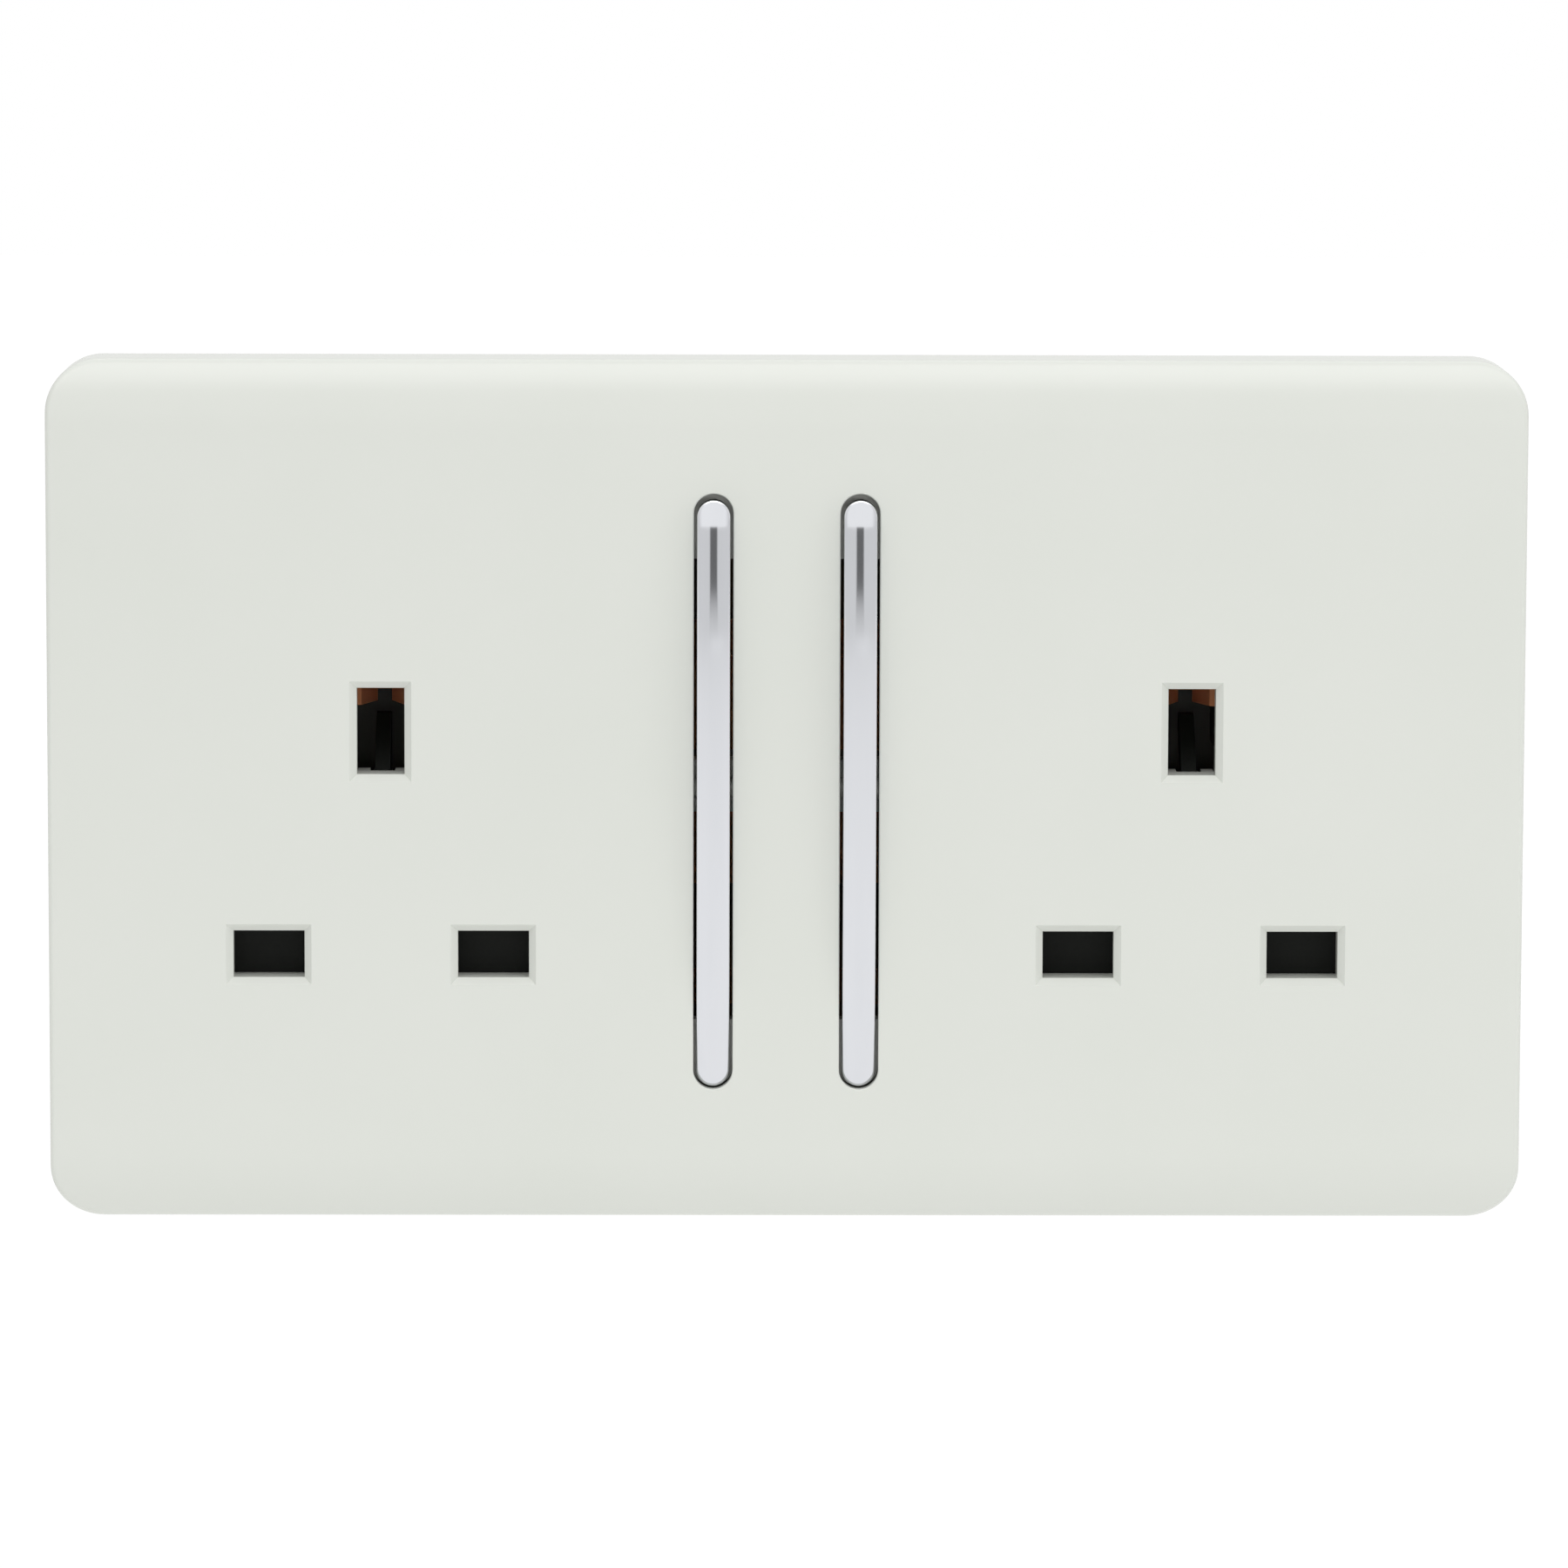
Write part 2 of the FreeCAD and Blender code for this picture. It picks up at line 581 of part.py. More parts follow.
def rear_housing():
    """Base moulding: a deep tray with seats for the strips and cheeks beside each pin contact."""
    body = new_body("rear_housing")
    block = housing_outline(Outline(body, "housing_block", "XZ_Plane", housing_back), 0)
    tray = pad(body, block, size.housing_depth)

    def outer_corner(box):
        along_y = box.YLength > size.housing_depth.number - 0.01
        at_neck = abs(abs(box.Center.x) - size.housing_neck_width.number / 2) < 0.01
        return along_y and not (at_neck and box.Center.z < 0)

    shoulder_step = (size.housing_width - size.housing_neck_width) / 2
    dress(body, "Fillet", "housing_rounds", tray, outer_corner,
          smaller(size.housing_corner, shoulder_step / 2))
    hollow = Outline(body, "housing_hollow", "XZ_Plane")
    housing_outline(hollow, size.housing_wall)
    pocket(body, hollow, size.housing_depth - size.housing_floor)

    bosses = Outline(body, "housing_bosses", "XZ_Plane", floor_level)
    for x, z in post_places():
        bosses.square(x, z, size.boss_width)
    pad(body, bosses, size.boss_height)

    seats = Outline(body, "strip_seats", "XZ_Plane", floor_level)
    for side in SIDES:
        for sign in (-1, 1):
            seats.square(socket_axis(side) + sign * half_pitch, line_row, size.seat_width)
        seats.square(rocker_axis(side), 0, size.seat_width)
        seats.square(SIDES[side] * strip_turn, 0, size.seat_width)
    pad(body, seats, strip_rear - floor_level)
    earth_seats = Outline(body, "earth_seats", "XZ_Plane", floor_level)
    for side in SIDES:
        earth_seats.square(socket_axis(side), earth_leaf_row, size.seat_width)
        earth_seats.square(SIDES[side] * size.terminal_spacing / 4, size.earth_bar_rise,
                           size.seat_width)
    pad(body, earth_seats, earth_rear - floor_level)

    cheeks = Outline(body, "contact_cheeks", "XZ_Plane", floor_level)
    for side in SIDES:
        for offset, row, half in (
                (-half_pitch, line_row, size.line_leaf_width / 2),
                (half_pitch, line_row, size.line_leaf_width / 2),
                (0, earth_row, size.earth_leaf_mouth + size.leaf_thickness)):
            for sign in (-1, 1):
                inner = socket_axis(side) + offset + sign * (half + size.cheek_gap)
                cheeks.rectangle(inner, inner + sign * size.cheek_thickness,
                                 row - size.cheek_length / 2, row + size.cheek_length / 2)
    pad(body, cheeks, size.leaf_front_level - floor_level)

    wells = Outline(body, "screw_wells", "XZ_Plane", floor_level)
    for x, z, front, rear in terminal_places().values():
        wells.square(x, z, 2 * (size.terminal_head_radius + size.head_room))
    pocket(body, wells, size.housing_floor)
    clearance = Outline(body, "assembly_holes", "XZ_Plane", boss_level)
    for x, z in post_places():
        clearance.circle(x, z, size.pilot_radius + size.head_room)
    pocket(body, clearance, boss_level - housing_back)
    counterbores = Outline(body, "counterbores", "XZ_Plane", housing_back + size.counterbore_depth)
    for x, z in post_places():
        counterbores.circle(x, z, size.assembly_head_radius + size.head_room)
    pocket(body, counterbores, size.counterbore_depth)

    half_port = size.terminal_hole / 2 + size.port_ease
    for name, (x, z, front, rear) in terminal_places().items():
        edge = -size.housing_drop + size.housing_wall if name == "neutral" else size.housing_top
        port = Outline(body, f"wire_port_{name}", "XY_Plane", edge)
        middle = -(front + terminal_reach)
        port.rectangle(x - half_port, x + half_port, middle - half_port, middle + half_port)
        pocket(body, port, size.housing_wall)
    return body


def rocker(side):
    """Plastic rocker carrier: a tapered beam, pivot pins and the tube for its plunger."""
    body = new_body(f"rocker_{side}")
    half = size.slot_length / 2 - size.rocker_end_gap - size.carrier_inset
    thin = size.trim_seat - size.carrier_end
    beam = Outline(body, f"beam_{side}", "YZ_Plane").path(
        [(-size.trim_seat, -half), (-thin, -half), (size.carrier_hub_depth, -size.carrier_hub),
         (size.carrier_hub_depth, size.carrier_hub), (-thin, half), (-size.trim_seat, half)])
    pad(body, beam, size.carrier_width, both_ways=True)
    pins = Outline(body, f"pivot_pins_{side}", "YZ_Plane").circle(0, 0, size.pivot_radius)
    pad(body, pins, size.pivot_length, both_ways=True)
    tail = Outline(body, f"tail_{side}", "XZ_Plane", -size.tail_end)
    tail.rectangle(-size.tail_width / 2, size.tail_width / 2, -size.tail_height / 2,
                   size.tail_height / 2)
    pad(body, tail, size.tail_end - size.tail_start)
    bore = Outline(body, f"plunger_bore_{side}", "XZ_Plane", -size.carrier_hub_depth)
    bore.circle(0, 0, size.plunger_radius + size.plunger_clearance)
    pocket(body, bore, size.tail_end - size.carrier_hub_depth)
    place(body, rocker_axis(side), -size.pivot_level, 0, rest_tilt)
    return body


def rocker_trim(side):
    """Plated bar on the carrier: bowed along its length, crowned across, with bevelled ends."""
    body = new_body(f"rocker_trim_{side}")
    half = size.trim_width / 2
    length = size.slot_length - 2 * size.rocker_end_gap
    sag = size.cross_crown_radius - root(size.cross_crown_radius * size.cross_crown_radius
                                         - half * half)
    shoulder = size.crown_level - sag
    section = Outline(body, f"trim_section_{side}", "XY_Plane").path(
        [(-half, -shoulder), (half, -shoulder), (half, 0), (-half, 0)],
        {0: (size.cross_crown_radius, (0, size.cross_crown_radius - size.crown_level))})
    section.axis_line(size.crown_radius - size.crown_level)
    bow = body.newObject("PartDesign::Revolution", f"trim_bow_{side}")
    bow.Profile = section.sketch
    bow.ReferenceAxis = (section.sketch, ["Axis0"])
    bow.Midplane = True
    bind(bow, "Angle", size.bow_margin * degrees(length / size.crown_radius))

    plan = Outline(body, f"trim_plan_{side}", "XZ_Plane", size.crown_level)
    plan.rectangle(-length, length, -length, length)
    plan.slot(0, length, size.trim_width)
    pocket(body, plan, 2 * size.crown_level)
    seat = Outline(body, f"trim_seat_{side}", "XZ_Plane", size.trim_seat)
    seat.rectangle(-size.trim_width, size.trim_width, -length, length)
    pocket(body, seat, 2 * size.crown_level)

    border = length / 2 - size.tip_length
    border_level = size.crown_level - size.crown_radius + root(
        size.crown_radius * size.crown_radius - border * border)
    tip = length / 2 + size.tip_length
    tip_level = border_level - 2 * size.tip_drop
    tips = Outline(body, f"trim_tips_{side}", "YZ_Plane")
    for sign in (-1, 1):
        tips.path([(-border_level, sign * border), (-tip_level, sign * tip),
                   (-2 * size.crown_level, sign * tip), (-2 * size.crown_level, sign * border)])
    pocket(body, tips, 2 * size.trim_width, both_ways=True)
    place(body, rocker_axis(side), -size.pivot_level, 0, rest_tilt)
    return body


def plunger(side):
    """Plunger with a coned nose in the rocker's tube."""
    body = new_body(f"plunger_{side}")
    profile = Outline(body, f"plunger_profile_{side}", "YZ_Plane").path(
        [(size.plunger_start, 0), (size.plunger_reach, 0),
         (size.plunger_reach, size.plunger_radius - size.plunger_nose),
         (size.plunger_reach - size.plunger_nose, size.plunger_radius),
         (size.plunger_start, size.plunger_radius)])
    turned = body.newObject("PartDesign::Revolution", f"plunger_turned_{side}")
    turned.Profile = profile.sketch
    turned.ReferenceAxis = (profile.sketch, ["H_Axis"])
    turned.Angle = 360
    place(body, rocker_axis(side), -size.pivot_level, 0, rest_tilt)
    return body


def coil(name, diameter, wire, turns, length, start, x, y, z, tilt):
    """Coil spring of square wire, ruled between sections that climb round its own Z axis."""
    inner, outer = (diameter - wire).number / 2, (diameter + wire).number / 2
    steps = round(COIL_SIDES * turns.number)
    climb = (length - wire).number / steps
    sections = []
    for step in range(steps + 1):
        low = as_size(start).number + climb * step
        high = low + wire.number
        turn = FreeCAD.Rotation(FreeCAD.Vector(0, 0, 1), 360 * step / COIL_SIDES)
        corners = [turn.multVec(FreeCAD.Vector(radius, 0, level)) for radius, level in
                   ((inner, low), (outer, low), (outer, high), (inner, high))]
        sections.append(Part.makePolygon(corners + corners[:1]))
    spring = document.addObject("Part::Feature", name)
    spring.Label = name
    spring.Shape = Part.makeLoft(sections, True, True)
    place(spring, x, y, z, tilt)
    return spring


def switch_arm(side):
    """See-saw moving contact: a flat blade on a rolled barrel."""
    body = new_body(f"switch_arm_{side}")
    blade = Outline(body, f"arm_blade_{side}", "XZ_Plane", size.arm_front - size.arm_thickness)
    blade.rectangle(-size.arm_width / 2, size.arm_width / 2, -size.arm_length / 2,
                    size.arm_length / 2)
    pad(body, blade, size.arm_thickness)
    barrel = Outline(body, f"arm_barrel_{side}", "YZ_Plane").circle(0, 0, size.barrel_radius)
    pad(body, barrel, size.barrel_length, both_ways=True)
    place(body, rocker_axis(side), size.arm_axis_depth, 0, -size.arm_tilt)
    return body


def arm_tip(side):
    """Silver tip on the back of the arm's upper end."""
    body = new_body(f"arm_tip_{side}")
    rear = size.arm_front - size.arm_thickness
    tip = Outline(body, f"arm_tip_outline_{side}", "XZ_Plane", rear - size.contact_thickness)
    tip.square(0, size.contact_rise, size.contact_width)
    pad(body, tip, size.contact_thickness)
    place(body, rocker_axis(side), size.arm_axis_depth, 0, -size.arm_tilt)
    return body


def fixed_tips():
    """The two silver tips on the switched line strips."""
    tips = []
    for side in SIDES:
        tip = document.addObject("Part::Box", f"fixed_tip_{side}")
        bind(tip, "Length", size.contact_width)
        bind(tip, "Width", size.contact_thickness)
        bind(tip, "Height", size.contact_width)
        place(tip, rocker_axis(side) - size.contact_width / 2, -fixed_tip_level,
              size.contact_rise - size.contact_width / 2)
        tips.append(tip)
    return group("fixed_tips", tips)


def group(name, members):
    """Like pieces kept as separate solids in one node."""
    compound = document.addObject("Part::Compound", name)
    compound.Label = name
    compound.Links = members
    return compound


def leaf_pair(body, name, role, centre, along, width, root_half, pinch_half, mouth_half, foot):
    """Two sprung leaves that close on a pin, drawn across the pin and padded along its width."""
    outline = Outline(body, name, role, along)
    pinch = -size.leaf_pinch_depth
    for sign in (-1, 1):
        shape = [(foot, root_half), (pinch, pinch_half), (size.leaf_front_level, mouth_half),
                 (size.leaf_front_level, mouth_half + size.leaf_thickness),
                 (pinch, pinch_half + size.leaf_thickness), (foot, root_half + size.leaf_thickness)]
        if role == "YZ_Plane":
            outline.path([(-level, centre + sign * half) for level, half in shape])
        else:
            outline.path([(centre + sign * half, -level) for level, half in shape])
    return pad(body, outline, width, both_ways=True)


def line_leaves(body, name, x):
    """Leaf pair of a line or neutral contact."""
    leaf_pair(body, name, "YZ_Plane", line_row, x, size.line_leaf_width, size.line_leaf_root,
              size.line_leaf_pinch, size.line_leaf_mouth, strip_front)


def terminal_hole_cut(body, name, x, z, front):
    """Hole in a bar for a terminal screw."""
    hole = Outline(body, name, "XZ_Plane", front)
    hole.circle(x, z, size.terminal_screw_radius + 2 * size.terminal_thread_play)
    pocket(body, hole, size.strip_thickness)


def earth_bar():
    """Earth bar with both pin contacts and the two terminal tabs, one stamping."""
    body = new_body("earth_bar")
    half_bar = size.earth_bar_width / 2
    low, high = size.earth_bar_rise - half_bar, size.earth_bar_rise + half_bar
    foot = earth_leaf_row - size.earth_leaf_width / 2
    reach = size.earth_leaf_root + size.leaf_thickness
    axis, tab = socket_half, size.terminal_spacing / 2
    half_tab = size.terminal_width / 2
    right_side = [(axis - reach, low), (axis - reach, foot), (axis + reach, foot),
                  (axis + reach, high), (tab + half_tab, high), (tab + half_tab, block_high),
                  (tab - half_tab, block_high), (tab - half_tab, high)]
    left_side = [(-x, z) for x, z in reversed(right_side)]
    sheet_outline = Outline(body, "earth_sheet", "XZ_Plane", earth_rear)
    sheet_outline.path(right_side + left_side)
    pad(body, sheet_outline, size.strip_thickness)
    for side in SIDES:
        leaf_pair(body, f"earth_leaves_{side}", "XY_Plane", socket_axis(side), earth_leaf_row,
                  size.earth_leaf_width, size.earth_leaf_root, size.earth_leaf_pinch,
                  size.earth_leaf_mouth, earth_front)
        x, z, front, rear = terminal_places()[f"earth_{side}"]
        terminal_hole_cut(body, f"earth_hole_{side}", x, z, front)
    return body


def neutral_bar():
    """Neutral bar with a pin contact for each outlet, one stamping."""
    body = new_body("neutral_bar")
    half_bar = size.neutral_bar_width / 2
    low, high = -size.neutral_bar_drop - half_bar, -size.neutral_bar_drop + half_bar
    top = line_row + size.line_leaf_root + size.leaf_thickness
    half_leaf = size.line_leaf_width / 2
    first = socket_axis("left") - half_pitch
    second = socket_axis("right") - half_pitch
    outline = Outline(body, "neutral_sheet", "XZ_Plane", strip_rear)
    outline.path([(first - half_leaf, low), (second + half_leaf, low), (second + half_leaf, top),
                  (second - half_leaf, top), (second - half_leaf, high), (first + half_leaf, high),
                  (first + half_leaf, top), (first - half_leaf, top)])
    pad(body, outline, size.strip_thickness)
    line_leaves(body, "neutral_leaves_left", first)
    line_leaves(body, "neutral_leaves_right", second)
    x, z, front, rear = terminal_places()["neutral"]
    terminal_hole_cut(body, "neutral_hole", x, z, front)
    return body


def line_bar():
    """Feed bar: a T from the line terminal to the cradles of both see-saw arms."""
    body = new_body("line_bar")
    half_stem = size.strip_width / 2
    half_cross = size.cradle_height / 2
    end = size.rocker_spacing / 2 + size.cradle_width / 2
    outline = Outline(body, "line_sheet", "XZ_Plane", strip_rear)
    outline.path([(-end, -half_cross), (end, -half_cross), (end, half_cross),
                  (half_stem, half_cross), (half_stem, block_high), (-half_stem, block_high),
                  (-half_stem, half_cross), (-end, half_cross)])
    pad(body, outline, size.strip_thickness)
    cradle_top = -size.arm_axis_depth - size.cradle_play
    cradles = Outline(body, "arm_cradles", "XZ_Plane", strip_front)
    for side in SIDES:
        left = rocker_axis(side) - size.cradle_width / 2
        cradles.rectangle(left, left + size.cradle_width, -half_cross, half_cross)
    pad(body, cradles, cradle_top - strip_front)
    grooves = Outline(body, "cradle_grooves", "YZ_Plane")
    grooves.circle(size.arm_axis_depth, 0, size.barrel_radius + size.barrel_clearance)
    pocket(body, grooves, size.rocker_spacing + 2 * size.cradle_width, both_ways=True)
    x, z, front, rear = terminal_places()["line"]
    terminal_hole_cut(body, "line_hole", x, z, front)
    return body


def line_contact(side):
    """Switched line strip from a fixed tip to the outlet's line contact, one stamping."""
    body = new_body(f"line_contact_{side}")
    sign = SIDES[side]
    start = rocker_axis(side) - sign * size.strip_width / 2
    turn_in = sign * (strip_turn - size.strip_width / 2)
    turn_out = sign * (strip_turn + size.strip_width / 2)
    contact = socket_axis(side) + half_pitch
    head_low = size.contact_rise - size.strip_width / 2
    head_high = size.contact_rise + size.strip_width / 2
    run_high = -size.strip_run_drop + size.strip_run_width / 2
    run_low = -size.strip_run_drop - size.strip_run_width / 2
    half_leaf = sign * size.line_leaf_width / 2
    foot = line_row - size.line_leaf_root - size.leaf_thickness
    outline = Outline(body, f"line_sheet_{side}", "XZ_Plane", strip_rear)
    outline.path([(start, head_low), (turn_in, head_low), (turn_in, run_low),
                  (contact - half_leaf, run_low), (contact - half_leaf, foot),
                  (contact + half_leaf, foot), (contact + half_leaf, run_high),
                  (turn_out, run_high), (turn_out, head_high), (start, head_high)])
    pad(body, outline, size.strip_thickness)
    line_leaves(body, f"line_leaves_{side}", contact)
    return body


def shutter(side):
    """Black slide that covers the line and neutral apertures, with the earth pin's ramp."""
    body = new_body(f"shutter_{side}")
    axis = socket_axis(side)
    low, high = line_row - size.shutter_height / 2, line_row + size.shutter_height / 2
    half_pocket = size.spring_pocket_width / 2
    half_stem = size.stem_width / 2
    pocket_top = low + size.spring_pocket_height
    outline = Outline(body, f"shutter_plate_{side}", "XZ_Plane", shutter_rear)
    outline.path([(axis - shutter_half, low), (axis - half_pocket, low),
                  (axis - half_pocket, pocket_top), (axis + half_pocket, pocket_top),
                  (axis + half_pocket, low), (axis + shutter_half, low),
                  (axis + shutter_half, high), (axis + half_stem, high),
                  (axis + half_stem, stem_top), (axis - half_stem, stem_top),
                  (axis - half_stem, high), (axis - shutter_half, high)])
    pad(body, outline, size.shutter_thickness)
    ramp_end = stem_top + size.ramp_rise
    ramp = Outline(body, f"shutter_ramp_{side}", "YZ_Plane", axis)
    ramp.path([(-shutter_front, stem_top), (size.ramp_rise - shutter_front, ramp_end),
               (size.ramp_rise + size.ramp_root - shutter_front, ramp_end),
               (size.ramp_rise + size.ramp_root - shutter_front, ramp_end - size.ramp_root),
               (-shutter_rear, stem_top - size.ramp_root),
               (-shutter_front, stem_top - size.ramp_root)])
    pad(body, ramp, size.ramp_width, both_ways=True)
    return body


def shutter_spring(side):
    """Coil between the skirt's lower wall and the shutter's pocket."""
    foot = block_low + size.spring_end_gap
    head = line_row - size.shutter_height / 2 + size.spring_pocket_height - size.spring_end_gap
    level = shutter_front - size.spring_diameter / 2
    return coil(f"shutter_spring_{side}", size.spring_diameter, size.spring_wire, size.spring_turns,
                head - foot, 0, socket_axis(side), -level, foot, Size("0", 0.0))


def plunger_spring(side):
    """Coil between the end of the rocker's tube and the plunger, about the tube's axis."""
    diameter = 2 * size.plunger_radius - 2 * size.plunger_wire
    start = -size.plunger_start + size.spring_end_gap
    length = size.plunger_start - size.carrier_hub_depth - 2 * size.spring_end_gap
    return coil(f"plunger_spring_{side}", diameter, size.plunger_wire, size.plunger_turns, length,
                start, rocker_axis(side), -size.pivot_level, 0, rest_tilt + 90)


def terminal_block(name):
    """Brass block with a square wire hole and a tapped hole for its screw."""
    x, z, front, rear = terminal_places()[name]
    body = new_body(f"terminal_block_{name}")
    half = size.terminal_width / 2
    block = Outline(body, f"block_{name}", "XZ_Plane", front)
    block.rectangle(x - half, x + half, z - size.terminal_length / 2, z + size.terminal_length / 2)
    pad(body, block, size.terminal_width)
    half_hole = size.terminal_hole / 2
    middle = -(front + terminal_reach)
    wire = Outline(body, f"wire_hole_{name}", "XY_Plane", z)
    wire.rectangle(x - half_hole, x + half_hole, middle - half_hole, middle + half_hole)
    pocket(body, wire, size.terminal_length, both_ways=True)
    thread = Outline(body, f"thread_{name}", "XZ_Plane", front + size.terminal_bite)
    thread.circle(x, z, size.terminal_screw_radius + size.terminal_thread_play)
    pocket(body, thread, size.terminal_bite)
    return body


def screw(name, x, z, seat_level, head_radius, head_height, shank_radius, shank_length):
    """Slotted cheese head screw whose head sits behind a seat level, shank to the front."""
    head = document.addObject("Part::Cylinder", f"{name}_head")
    bind(head, "Radius", head_radius)
    bind(head, "Height", head_height)
    shank = document.addObject("Part::Prism", f"{name}_shank")
    shank.Polygon = SHANK_SIDES
    bind(shank, "Circumradius", shank_radius)
    bind(shank, "Height", shank_length)
    for piece, turn in ((head, -90), (shank, 90)):
        piece.Placement.Rotation = FreeCAD.Rotation(FreeCAD.Vector(1, 0, 0), turn)
        place(piece, x, -seat_level, z)
    blank = document.addObject("Part::Fuse", f"{name}_blank")
    blank.Base, blank.Tool = head, shank
    slot = document.addObject("Part::Box", f"{name}_slot")
    bind(slot, "Length", 2 * head_radius)
    bind(slot, "Width", size.screw_slot_depth)
    bind(slot, "Height", size.screw_slot)
    place(slot, x - head_radius, head_height - seat_level - size.screw_slot_depth,
          z - size.screw_slot / 2)
    slotted = document.addObject("Part::Cut", name)
    slotted.Base, slotted.Tool = blank, slot
    return slotted


def terminal_screws():
    """The four terminal screws, clear of the wire holes."""
    reach = size.strip_thickness + size.terminal_bite - 2 * size.terminal_thread_play
    return group("terminal_screws", [
        screw(f"terminal_screw_{name}", x, z, rear, size.terminal_head_radius,
              size.terminal_head_height, size.terminal_screw_radius, reach)
        for name, (x, z, front, rear) in terminal_places().items()])


def assembly_screws():
    """The two screws that hold the housing to the frame's posts."""
    seat = housing_back + size.counterbore_depth
    reach = boss_level - seat + size.pilot_depth - size.pilot_spare
    return group("assembly_screws", [
        screw(f"assembly_screw_{number}", x, z, seat, size.assembly_head_radius,
              size.assembly_head_height, size.assembly_screw_radius, reach)
        for number, (x, z) in enumerate(post_places(), start=1)])


pieces = [front_plate(), support_frame(), rear_housing(), fixed_tips(), earth_bar(), neutral_bar(),
          line_bar(), terminal_screws(), assembly_screws()]
for terminal in terminal_places():
    pieces.append(terminal_block(terminal))
for side in SIDES:
    for maker in (rocker, rocker_trim, plunger, plunger_spring, switch_arm, arm_tip, line_contact,
                  shutter, shutter_spring):
        pieces.append(maker(side))
document.recompute()

# Nothing is written unless every object and shape is sound
for item in document.Objects:
    if {"Invalid", "Error"} & set(item.State):
        raise RuntimeError(f"{item.Label} failed: {item.State}")
    if item.TypeId == "PartDesign::Pocket":
        before = item.BaseFeature.Shape.Volume
        if before - item.Shape.Volume < 1e-6:
            raise RuntimeError(f"{item.Label} cuts nothing")
for piece in pieces:
    if piece.Shape.isNull() or not piece.Shape.isValid():
        raise RuntimeError(f"{piece.Label} has no sound shape")

os.makedirs("parts", exist_ok=True)
for piece in pieces:
    piece.Shape.exportStep(f"parts/{piece.Label}.step")
    box = piece.Shape.BoundBox
    print(f"{piece.Label}: {len(piece.Shape.Solids)} solid, {piece.Shape.Volume:.1f} mm3, "
          f"{box.XLength:.2f} x {box.YLength:.2f} x {box.ZLength:.2f} mm")
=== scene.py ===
# %% [markdown]
# A twin switched socket for a wall: a white clip-on cover with six pin apertures, and two long
# chrome rockers between the outlets. Its working parts were drawn in CAD, in metres, with X to the
# right, Y into the wall and Z up. This lesson loads those parts and leaves them where they are. It
# then makes the cover, the chrome bars and the springs again as smooth surfaces, gives every part
# a finish, and lights and frames it like a product portrait.

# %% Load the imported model
import json
import math

import bmesh
import bpy
import numpy as np
from mathutils import Matrix, Vector


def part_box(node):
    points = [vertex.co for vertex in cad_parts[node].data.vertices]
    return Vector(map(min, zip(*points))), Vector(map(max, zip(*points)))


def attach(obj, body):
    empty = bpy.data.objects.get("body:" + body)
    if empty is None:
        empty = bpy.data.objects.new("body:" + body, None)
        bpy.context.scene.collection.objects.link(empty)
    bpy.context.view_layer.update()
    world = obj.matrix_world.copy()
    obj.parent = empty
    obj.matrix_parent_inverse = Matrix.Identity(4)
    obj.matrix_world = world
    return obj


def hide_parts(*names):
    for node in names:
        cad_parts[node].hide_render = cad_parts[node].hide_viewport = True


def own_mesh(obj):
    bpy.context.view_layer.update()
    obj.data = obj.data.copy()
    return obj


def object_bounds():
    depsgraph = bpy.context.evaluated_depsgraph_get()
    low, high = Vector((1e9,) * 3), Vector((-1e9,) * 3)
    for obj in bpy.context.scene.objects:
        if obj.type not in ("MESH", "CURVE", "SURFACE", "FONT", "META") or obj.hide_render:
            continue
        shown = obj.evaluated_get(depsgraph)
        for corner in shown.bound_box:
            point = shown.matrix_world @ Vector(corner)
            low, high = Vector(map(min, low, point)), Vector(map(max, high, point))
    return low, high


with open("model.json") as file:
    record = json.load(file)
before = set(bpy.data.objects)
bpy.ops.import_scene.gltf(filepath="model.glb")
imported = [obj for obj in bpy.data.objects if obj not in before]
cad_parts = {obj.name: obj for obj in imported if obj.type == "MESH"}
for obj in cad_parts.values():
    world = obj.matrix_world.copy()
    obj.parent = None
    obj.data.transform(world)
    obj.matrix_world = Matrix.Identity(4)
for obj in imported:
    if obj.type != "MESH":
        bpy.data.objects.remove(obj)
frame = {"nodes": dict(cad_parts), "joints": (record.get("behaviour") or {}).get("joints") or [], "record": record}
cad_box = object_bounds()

MM = 0.001
nodes = frame["nodes"]

# %% [markdown]
# Every new piece here is one or more grids of points. A grid could be made with Blender's own
# primitives and edits, but a formula on whole arrays is shorter, exact, and easy to read again.
# The helper below joins several grids into one mesh. Where two grids share an edge their points
# coincide, so merging doubles closes the seam. Edges that turn sharply keep a crisp crease, and
# all the others shade smoothly.

# %% From grids of points to a piece
MERGE = 0.0005 * MM
CREASE = math.radians(28)


def grid_cells(rows, columns, ring):
    """Corner numbers of each cell of a grid; in a ring the last column meets the first."""
    row = np.arange(rows - 1)[:, None]
    column = np.arange(columns if ring else columns - 1)[None, :]
    following = (column + 1) % columns
    corners = [row * columns + column, row * columns + following,
               (row + 1) * columns + following, (row + 1) * columns + column]
    return np.stack(np.broadcast_arrays(*corners), axis=-1).reshape(-1, 4)


